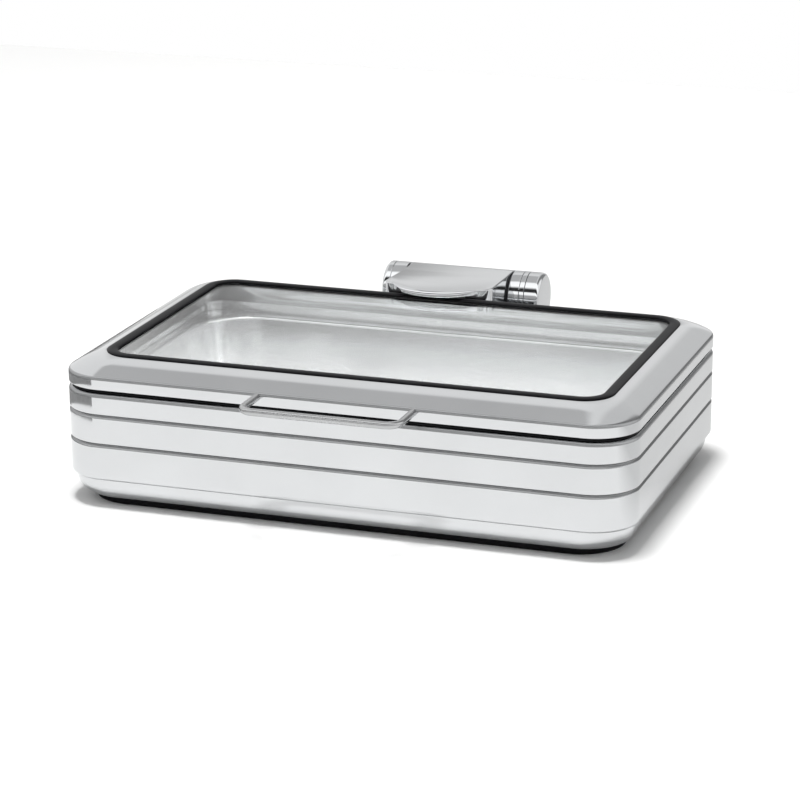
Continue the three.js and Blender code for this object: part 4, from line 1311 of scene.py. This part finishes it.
def cover_shell(settings):
    """Neck and plate in one: straight below, bulging over the seal in front, with a rounded upper edge."""
    hinge = settings.hinge

    def underside(y):
        return plate_top(settings, y) - hinge.plate_thickness

    def edge(swell):
        return hinge.side_round + (hinge.front_round - hinge.side_round) * min(1.0, EDGE_GROWTH * swell)

    def neck_ring(height_at):
        return cover_ring(settings, lambda swell: 0, 0, lambda y, swell: height_at(y))

    def under_ring(angle):
        return cover_ring(
            settings, lambda swell: hinge.under_round * swell * (1 - math.sin(angle)), hinge.bulge,
            lambda y, swell: underside(y) + hinge.under_round * (1 - math.cos(angle)),
        )

    def upper_ring(angle):
        return cover_ring(
            settings, lambda swell: edge(swell) * (1 - math.cos(angle)), hinge.bulge,
            lambda y, swell: plate_top(settings, y) - edge(swell) * (1 - math.sin(angle)),
        )

    rings = [
        neck_ring(lambda y: lid_surface(settings, y) + settings.lid.seat_gap),
        neck_ring(lambda y: underside(y) - NECK_ROOM),
    ]
    rings += [under_ring(angle) for angle in quarter_angles(UNDER_STEPS)]
    rings += [upper_ring(angle) for angle in quarter_angles(UPPER_STEPS)]
    return loft(rings, False)


SLEEVE_EDGE_STEPS = 4
CAP_STEPS = 14
WASHER_EDGE = 0.0002
# How far an arm's sides stand back from its knuckle's faces
ARM_INSET = 0.0002


def sleeve(inner, outer, low_x, high_x, edge, sides):
    """A sleeve round the hinge axis with rounded outer edges."""
    corners = [(inner, low_x, 0), (outer, low_x, edge), (outer, high_x, edge), (inner, high_x, 0)]
    return lathe(rounded(corners, SLEEVE_EDGE_STEPS), sides)


class DISH_OT_hinge_cover(bpy.types.Operator):
    """Makes the hinge cover: plate, neck and the middle of the barrel."""

    bl_idname = "dish.hinge_cover"
    bl_label = "Hinge cover"

    def execute(self, context):
        settings = context.scene.dish
        hinge = settings.hinge
        barrel = sleeve(hinge.bore_radius, HINGE_RADIUS, STRETCH_LOW, STRETCH_HIGH, hinge.edge, hinge.sides)
        piece("hinge_cover_casting", [cover_shell(settings), barrel], "lid", ["hinge_cover"],
              polished_steel(settings.finish))
        return {"FINISHED"}


def knuckle_shells(settings, side):
    """A knuckle's stretch of the barrel, its pad on the rear wall and the arm between them."""
    hinge = settings.hinge
    gap = settings.lid.seat_gap
    low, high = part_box(f"hinge_knuckle_{side}")
    washer_low, washer_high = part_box(f"hinge_washer_{side}")
    if side == "left":
        from_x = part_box("hinge_cap_left")[1].x + gap
        to_x = washer_low.x - gap
    else:
        from_x = washer_high.x + gap
        to_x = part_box("hinge_collar")[0].x - gap
    disc = sleeve(hinge.shaft_radius, HINGE_RADIUS, from_x, to_x, hinge.edge, hinge.sides)
    wall = BODY_Y + RIM_DEPTH / 2 + gap
    pad_top = low.z + hinge.pad_height
    pad = block((low.x, wall, low.z), (high.x, wall + hinge.pad_thickness, pad_top), hinge.pad_round)
    root = HINGE_RADIUS * hinge.arm_root
    core = hinge.shaft_radius * 2
    pad_middle = wall + hinge.pad_thickness / 2
    profile = [
        (pad_middle, low.z + hinge.pad_round), (HINGE_Y, HINGE_Z - root), (HINGE_Y, HINGE_Z - core),
        (HINGE_Y - core, HINGE_Z), (HINGE_Y - root, HINGE_Z), (pad_middle, pad_top - hinge.pad_round),
    ]
    return [disc, pad, plate_along_x(profile, from_x + ARM_INSET, to_x - ARM_INSET, hinge.pad_round)]


def cap_shell(settings, side):
    """An end cap: flat inside, with a large round at its outer edge."""
    hinge = settings.hinge
    low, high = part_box(f"hinge_cap_{side}")
    inner_x, outer_x = (high.x, low.x) if side == "left" else (low.x, high.x)
    outward = math.copysign(1, outer_x - inner_x)
    inner_edge_x = inner_x + outward * hinge.edge
    profile = [(0, inner_x), (HINGE_RADIUS - hinge.edge, inner_x), (HINGE_RADIUS, inner_edge_x)]
    for angle in quarter_angles(CAP_STEPS):
        radius = HINGE_RADIUS - hinge.cap_round * (1 - math.cos(angle))
        profile.append((radius, outer_x - outward * hinge.cap_round * (1 - math.sin(angle))))
    return lathe(profile + [(0, outer_x)], hinge.sides)


class DISH_OT_barrel(bpy.types.Operator):
    """Makes the knuckles, end caps, collar and washers of the barrel."""

    bl_idname = "dish.barrel"
    bl_label = "Hinge barrel"

    def execute(self, context):
        settings = context.scene.dish
        hinge = settings.hinge
        polished = polished_steel(settings.finish)
        plastic = dark_plastic(settings.finish)
        for side in ("left", "right"):
            knuckle = f"hinge_knuckle_{side}"
            piece(f"{knuckle}_casting", knuckle_shells(settings, side), "base", [knuckle],
                  polished)
            cap = f"hinge_cap_{side}"
            piece(f"{cap}_turning", [cap_shell(settings, side)], "base", [cap], polished)
            washer = f"hinge_washer_{side}"
            low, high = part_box(washer)
            radius = (high.z - low.z) / 2
            ring_shell = sleeve(hinge.shaft_radius, radius, low.x, high.x, WASHER_EDGE, hinge.sides)
            piece(f"{washer}_ring", [ring_shell], "base", [washer], plastic)
        low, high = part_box("hinge_collar")
        collar = sleeve(hinge.shaft_radius, HINGE_RADIUS, low.x, high.x, hinge.edge, hinge.sides)
        piece("hinge_collar_turning", [collar], "base", ["hinge_collar"], polished)
        return {"FINISHED"}


SCREWS_OF_A_KIND = 4
SCREW_SIDES = 48
HEAD_HEIGHT = 0.0022
HEAD_EDGE_STEPS = 6
SOCKET_CHAMFER = 0.0001
# Shares of a screw's head radius
SHANK_SHARE = 4 / 7
SOCKET_SHARE = 0.52
# Shares of a screw's head height
HEAD_EDGE_SHARE = 0.35
SOCKET_DEPTH_SHARE = 0.65
# Width of the socket's mouth as a share of the socket's
SOCKET_MOUTH_SHARE = 1.08


def screw_level(middle, along, radius, place, is_hexagon=False):
    """One ring of a screw, round or six-sided, at a place along its axis."""
    sixth = math.pi / 3
    others = [index for index in range(3) if index != along]
    points = []
    for angle in full_angles(SCREW_SIDES):
        flat = radius * math.cos(sixth / 2) / math.cos(angle % sixth - sixth / 2)
        reach = flat if is_hexagon else radius
        point = Vector((0, 0, 0))
        point[others[0]] = middle[others[0]] + reach * math.cos(angle)
        point[others[1]] = middle[others[1]] + reach * math.sin(angle)
        point[along] = place
        points.append(point)
    return points


def screw_shell(node, along, outward):
    """A socket-head screw that stands for a CAD screw. Its head points outward, 1 or -1, along an axis."""
    low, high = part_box(node)
    middle = (low + high) / 2
    head_radius = (high - low).x / 2
    socket = head_radius * SOCKET_SHARE
    edge = HEAD_HEIGHT * HEAD_EDGE_SHARE
    top, end = (high[along], low[along]) if outward > 0 else (low[along], high[along])
    seat = top - outward * HEAD_HEIGHT
    levels = [(head_radius * SHANK_SHARE, end), (head_radius * SHANK_SHARE, seat), (head_radius, seat)]
    for angle in quarter_angles(HEAD_EDGE_STEPS):
        place = top - outward * edge * (1 - math.sin(angle))
        levels.append((head_radius - edge * (1 - math.cos(angle)), place))
    levels.append((socket * SOCKET_MOUTH_SHARE, top, True))
    levels.append((socket, top - outward * SOCKET_CHAMFER, True))
    levels.append((socket, top - outward * HEAD_HEIGHT * SOCKET_DEPTH_SHARE, True))
    return loft([screw_level(middle, along, *level) for level in levels], False)


class DISH_OT_screws(bpy.types.Operator):
    """Makes the screws that show under the base and on the rear wall."""

    bl_idname = "dish.screws"
    bl_label = "Screws"

    def execute(self, context):
        plain = plain_steel(context.scene.dish.finish)
        for index in range(1, SCREWS_OF_A_KIND + 1):
            for kind, along, outward in (("base_screw", 2, -1), ("knuckle_screw", 1, 1)):
                node = f"{kind}_{index}"
                piece(f"{node}_socket_head", [screw_shell(node, along, outward)], "base", [node],
                      plain)
        return {"FINISHED"}


class DISH_OT_finishes(bpy.types.Operator):
    """Gives the inner CAD nodes their materials."""

    bl_idname = "dish.finishes"
    bl_label = "Inner pieces"

    def execute(self, context):
        finish = context.scene.dish.finish
        wanted = {
            satin_steel(finish): ("base_plate", "hinge_shaft", "backing_plate_left", "backing_plate_right"),
            plain_steel(finish): (
                "induction_plate", "hinge_damper_left", "hinge_damper_right",
                "handle_screw_1", "handle_screw_2", "cover_screw_1", "cover_screw_2",
            ),
            dark_plastic(finish): ("hinge_bush_left", "hinge_bush_right"),
        }
        for material, names in wanted.items():
            for name in names:
                for slot in frame["nodes"][name].material_slots:
                    slot.material = material
        return {"FINISHED"}


# Stage

# Brightness of the studio at angles from the front horizon over the top to the rear horizon, in degrees
SKY_STOPS = (
    (0, 0.62), (10, 0.5), (20, 0.5), (25, 1.5), (34, 1.5), (37, 0.04), (50, 0.04),
    (60, 1.6), (80, 1.5), (86, 0.64), (124, 0.62), (128, 1.0), (140, 1.0), (150, 0.78),
    (159, 0.78), (160.5, 0.96), (162.5, 0.96), (163.2, 0.42), (166, 0.42), (170, 0.6), (180, 0.9),
)
# Over the sideways part of a direction, the share of plain light that covers the strips, and its brightness
SIDE_STOPS = (
    (-0.48, 1.0, 1.0), (-0.45, 0.0, 1.0), (-0.2, 0.0, 0.95), (-0.11, 1.0, 0.95), (-0.06, 1.0, 0.95),
    (0.0, 1.0, 0.76), (0.17, 1.0, 0.76), (0.21, 1.0, 0.3), (0.6, 1.0, 0.3), (0.7, 1.0, 1.2),
)
# The plain light starts at this angle over the front horizon
SIDE_START = 80
HALF_TURN = 180
# Brightness that stands at the top of the sky's ramps
SKY_TOP = 2.0
# Share of the studio's light that reaches surfaces which scatter it, so the key light's shadow stays clear
SCATTERED_SHARE = 0.46
KEY_PLACE = (-0.15, -0.35, 5.2)
KEY_SIZE = 1.2
# The floor in mirror images darkens from here to there, in metres behind the middle, sooner to the right
MIRROR_START = 0.0
MIRROR_END = 0.2
MIRROR_SIDE_SHARE = 0.5
# Share of that darkening which reaches all of the floor
MIRROR_LEAST_SHARE = 0.1
# Directions between which the card stands, in degrees from the right, anticlockwise seen from above
CARD_FROM = 238
CARD_TO = 95
SENSOR_WIDTH = 36
CLIP_END = 200


def add_ramp(tree, value, stops):
    """A grey ramp through stops of (place, level)."""
    ramp = tree.nodes.new("ShaderNodeValToRGB")
    tree.links.new(value, ramp.inputs[0])
    elements = ramp.color_ramp.elements
    elements.remove(elements[-1])
    for index, (place, level) in enumerate(stops):
        element = elements[0] if index == 0 else elements.new(place)
        element.position = place
        element.color = (level, level, level, 1)
    return ramp.outputs[0]


def sky(scene, strength):
    """Soft light in broad strips that run from side to side, and a white backdrop for the camera."""
    world = bpy.data.worlds.new("Studio")
    scene.world = world
    world.use_nodes = True
    tree = world.node_tree
    tree.nodes.clear()
    parts = tree.nodes.new("ShaderNodeSeparateXYZ")
    tree.links.new(tree.nodes.new("ShaderNodeTexCoord").outputs["Generated"], parts.inputs[0])
    forward = add_math(tree, "MULTIPLY", parts.outputs["Y"], -1.0)
    amount = add_math(tree, "DIVIDE", add_math(tree, "ARCTAN2", parts.outputs["Z"], forward), math.pi)
    strips = add_ramp(tree, amount, [(degrees / HALF_TURN, level / SKY_TOP) for degrees, level in SKY_STOPS])
    sideways = add_spread(tree, parts.outputs["X"], -1.0, 1.0)
    cover = add_ramp(tree, sideways, [((x + 1) / 2, covered) for x, covered, level in SIDE_STOPS])
    plain = add_ramp(tree, sideways, [((x + 1) / 2, level / SKY_TOP) for x, covered, level in SIDE_STOPS])
    overhead = add_math(tree, "GREATER_THAN", amount, SIDE_START / HALF_TURN)
    colours = add_mix(tree, add_math(tree, "MULTIPLY", cover, overhead), strips, plain)
    light = tree.nodes.new("ShaderNodeBackground")
    path = tree.nodes.new("ShaderNodeLightPath").outputs
    full = SKY_TOP * strength
    lost = add_math(tree, "MULTIPLY", path["Is Diffuse Ray"], (SCATTERED_SHARE - 1) * full)
    tree.links.new(add_math(tree, "ADD", lost, full), light.inputs["Strength"])
    tree.links.new(colours, light.inputs["Color"])
    backdrop = tree.nodes.new("ShaderNodeBackground")
    backdrop.inputs["Color"].default_value = (1, 1, 1, 1)
    seen = add_shader_mix(tree, path["Is Camera Ray"], light.outputs[0], backdrop.outputs[0])
    tree.links.new(seen, tree.nodes.new("ShaderNodeOutputWorld").inputs["Surface"])


def key_light(scene, power):
    """A large square light that looks at the dish and doesn't mirror in its polish."""
    light = bpy.data.lights.new("Key light", "AREA")
    light.shape = "SQUARE"
    light.size = KEY_SIZE
    light.energy = power
    lamp = bpy.data.objects.new("Key light", light)
    scene.collection.objects.link(lamp)
    lamp.location = KEY_PLACE
    lamp.rotation_euler = (-Vector(KEY_PLACE)).to_track_quat("-Z", "Y").to_euler()
    lamp.visible_glossy = False


def stage_sheet(scene, name, points, faces, material):
    """An object of the stage, made from plain points and faces."""
    mesh = bpy.data.meshes.new(name)
    mesh.from_pydata(points, [], faces)
    mesh.materials.append(material)
    sheet = bpy.data.objects.new(name, mesh)
    scene.collection.objects.link(sheet)
    return sheet


def floor(scene, stage):
    """A large pale floor under the dish, darker in mirror images on the right and behind the dish."""
    def darken_images(tree, shader):
        places = add_places(tree)
        rightward = add_math(tree, "MULTIPLY", places["X"], MIRROR_SIDE_SHARE)
        way_back = add_math(tree, "ADD", places["Y"], rightward)
        behind = add_spread(tree, way_back, MIRROR_START, MIRROR_END, MIRROR_LEAST_SHARE)
        path = tree.nodes.new("ShaderNodeLightPath")
        mirrored = add_math(tree, "MULTIPLY", behind, path.outputs["Is Glossy Ray"])
        lay_over(tree, shader, mirrored, (*shaded(stage.floor_colour, stage.mirrored_shade), 1), "MIX")

    half = stage.floor_size / 2
    corners = [(-half, -half, 0), (half, -half, 0), (half, half, 0), (-half, half, 0)]
    material = surface(
        "Pale floor", fine_speckle(), stage.floor_colour, shades=(0.995, 1.0), roughness=(0.7, 0.9),
        values={"Scale": 40.0}, extra=darken_images,
    )
    plane = stage_sheet(scene, "floor", corners, [(0, 1, 2, 3)], material)


def grey_card(scene, stage):
    """A low grey card bent round the front left corner. It shows only as a dark patch in the polish there."""
    middle = Vector((SHELL_LOW.x, SHELL_LOW.y, 0))
    points = []
    for step in range(CORNER_STEPS + 1):
        angle = math.radians(CARD_FROM + (CARD_TO - CARD_FROM) * step / CORNER_STEPS)
        foot = middle + stage.card_distance * Vector((math.cos(angle), math.sin(angle), 0))
        points += [foot, foot + Vector((0, 0, stage.card_height))]
    faces = [(last - 2, last, last + 1, last - 1) for last in range(2, len(points), 2)]
    material = surface(
        "Grey card", fine_speckle(), stage.card_colour, shades=(0.98, 1.0), roughness=(0.7, 0.9),
        values={"Scale": 200.0},
    )
    card = stage_sheet(scene, "grey_card", points, faces, material)
    card.visible_camera = False
    card.visible_shadow = False
    card.visible_diffuse = False


def camera(scene, stage):
    """A camera at the photograph's angle."""
    level = math.cos(stage.pitch)
    forward = Vector((-math.sin(stage.yaw) * level, math.cos(stage.yaw) * level, -math.sin(stage.pitch)))
    right = forward.cross(Vector((0, 0, 1))).normalized()
    up = right.cross(forward)
    leaning_right = right * math.cos(stage.roll) + up * math.sin(stage.roll)
    leaning_up = up * math.cos(stage.roll) - right * math.sin(stage.roll)
    data = bpy.data.cameras.new("Camera")
    data.lens = stage.lens
    data.sensor_width = SENSOR_WIDTH
    data.clip_end = CLIP_END
    eye = bpy.data.objects.new("Camera", data)
    scene.collection.objects.link(eye)
    turned = Matrix((leaning_right, leaning_up, -forward)).transposed().to_4x4()
    eye.matrix_world = Matrix.Translation((stage.camera_x, stage.camera_y + BODY_Y, stage.camera_z)) @ turned
    scene.camera = eye


class DISH_OT_stage(bpy.types.Operator):
    """Makes the floor, the light and the camera."""

    bl_idname = "dish.stage"
    bl_label = "Stage"

    def execute(self, context):
        scene = context.scene
        stage = scene.dish.stage
        floor(scene, stage)
        grey_card(scene, stage)
        sky(scene, stage.world_strength)
        key_light(scene, stage.key_power)
        camera(scene, stage)
        scene.view_settings.view_transform = "Standard"
        scene.view_settings.look = "None"
        return {"FINISHED"}


class DISH_PT_panel(bpy.types.Panel):
    """Lists the steps of the dish."""

    bl_label = "Chafing dish"
    bl_idname = "DISH_PT_panel"
    bl_space_type = "VIEW_3D"
    bl_region_type = "UI"
    bl_category = "Dish"

    def draw(self, context):
        for operator in OPERATORS:
            self.layout.operator(operator.bl_idname)


SETTINGS = (
    ShellSettings, LidSettings, PanSettings, HandleSettings, HingeSettings, FinishSettings, StageSettings,
    DishSettings,
)
OPERATORS = (
    DISH_OT_body, DISH_OT_rubber, DISH_OT_pans, DISH_OT_lid, DISH_OT_window, DISH_OT_handle,
    DISH_OT_hinge_cover, DISH_OT_barrel, DISH_OT_screws, DISH_OT_finishes, DISH_OT_stage,
)


def register():
    for one in SETTINGS + OPERATORS + (DISH_PT_panel,):
        bpy.utils.register_class(one)
    bpy.types.Scene.dish = bpy.props.PointerProperty(type=DishSettings)


def unregister():
    del bpy.types.Scene.dish
    for one in reversed(SETTINGS + OPERATORS + (DISH_PT_panel,)):
        bpy.utils.unregister_class(one)


def main():
    """Registers the add-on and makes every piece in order."""
    register()
    bpy.ops.dish.body()
    bpy.ops.dish.rubber()
    bpy.ops.dish.pans()
    bpy.ops.dish.lid()
    bpy.ops.dish.window()
    bpy.ops.dish.handle()
    bpy.ops.dish.hinge_cover()
    bpy.ops.dish.barrel()
    bpy.ops.dish.screws()
    bpy.ops.dish.finishes()
    bpy.ops.dish.stage()


if __name__ == "__main__":
    main()
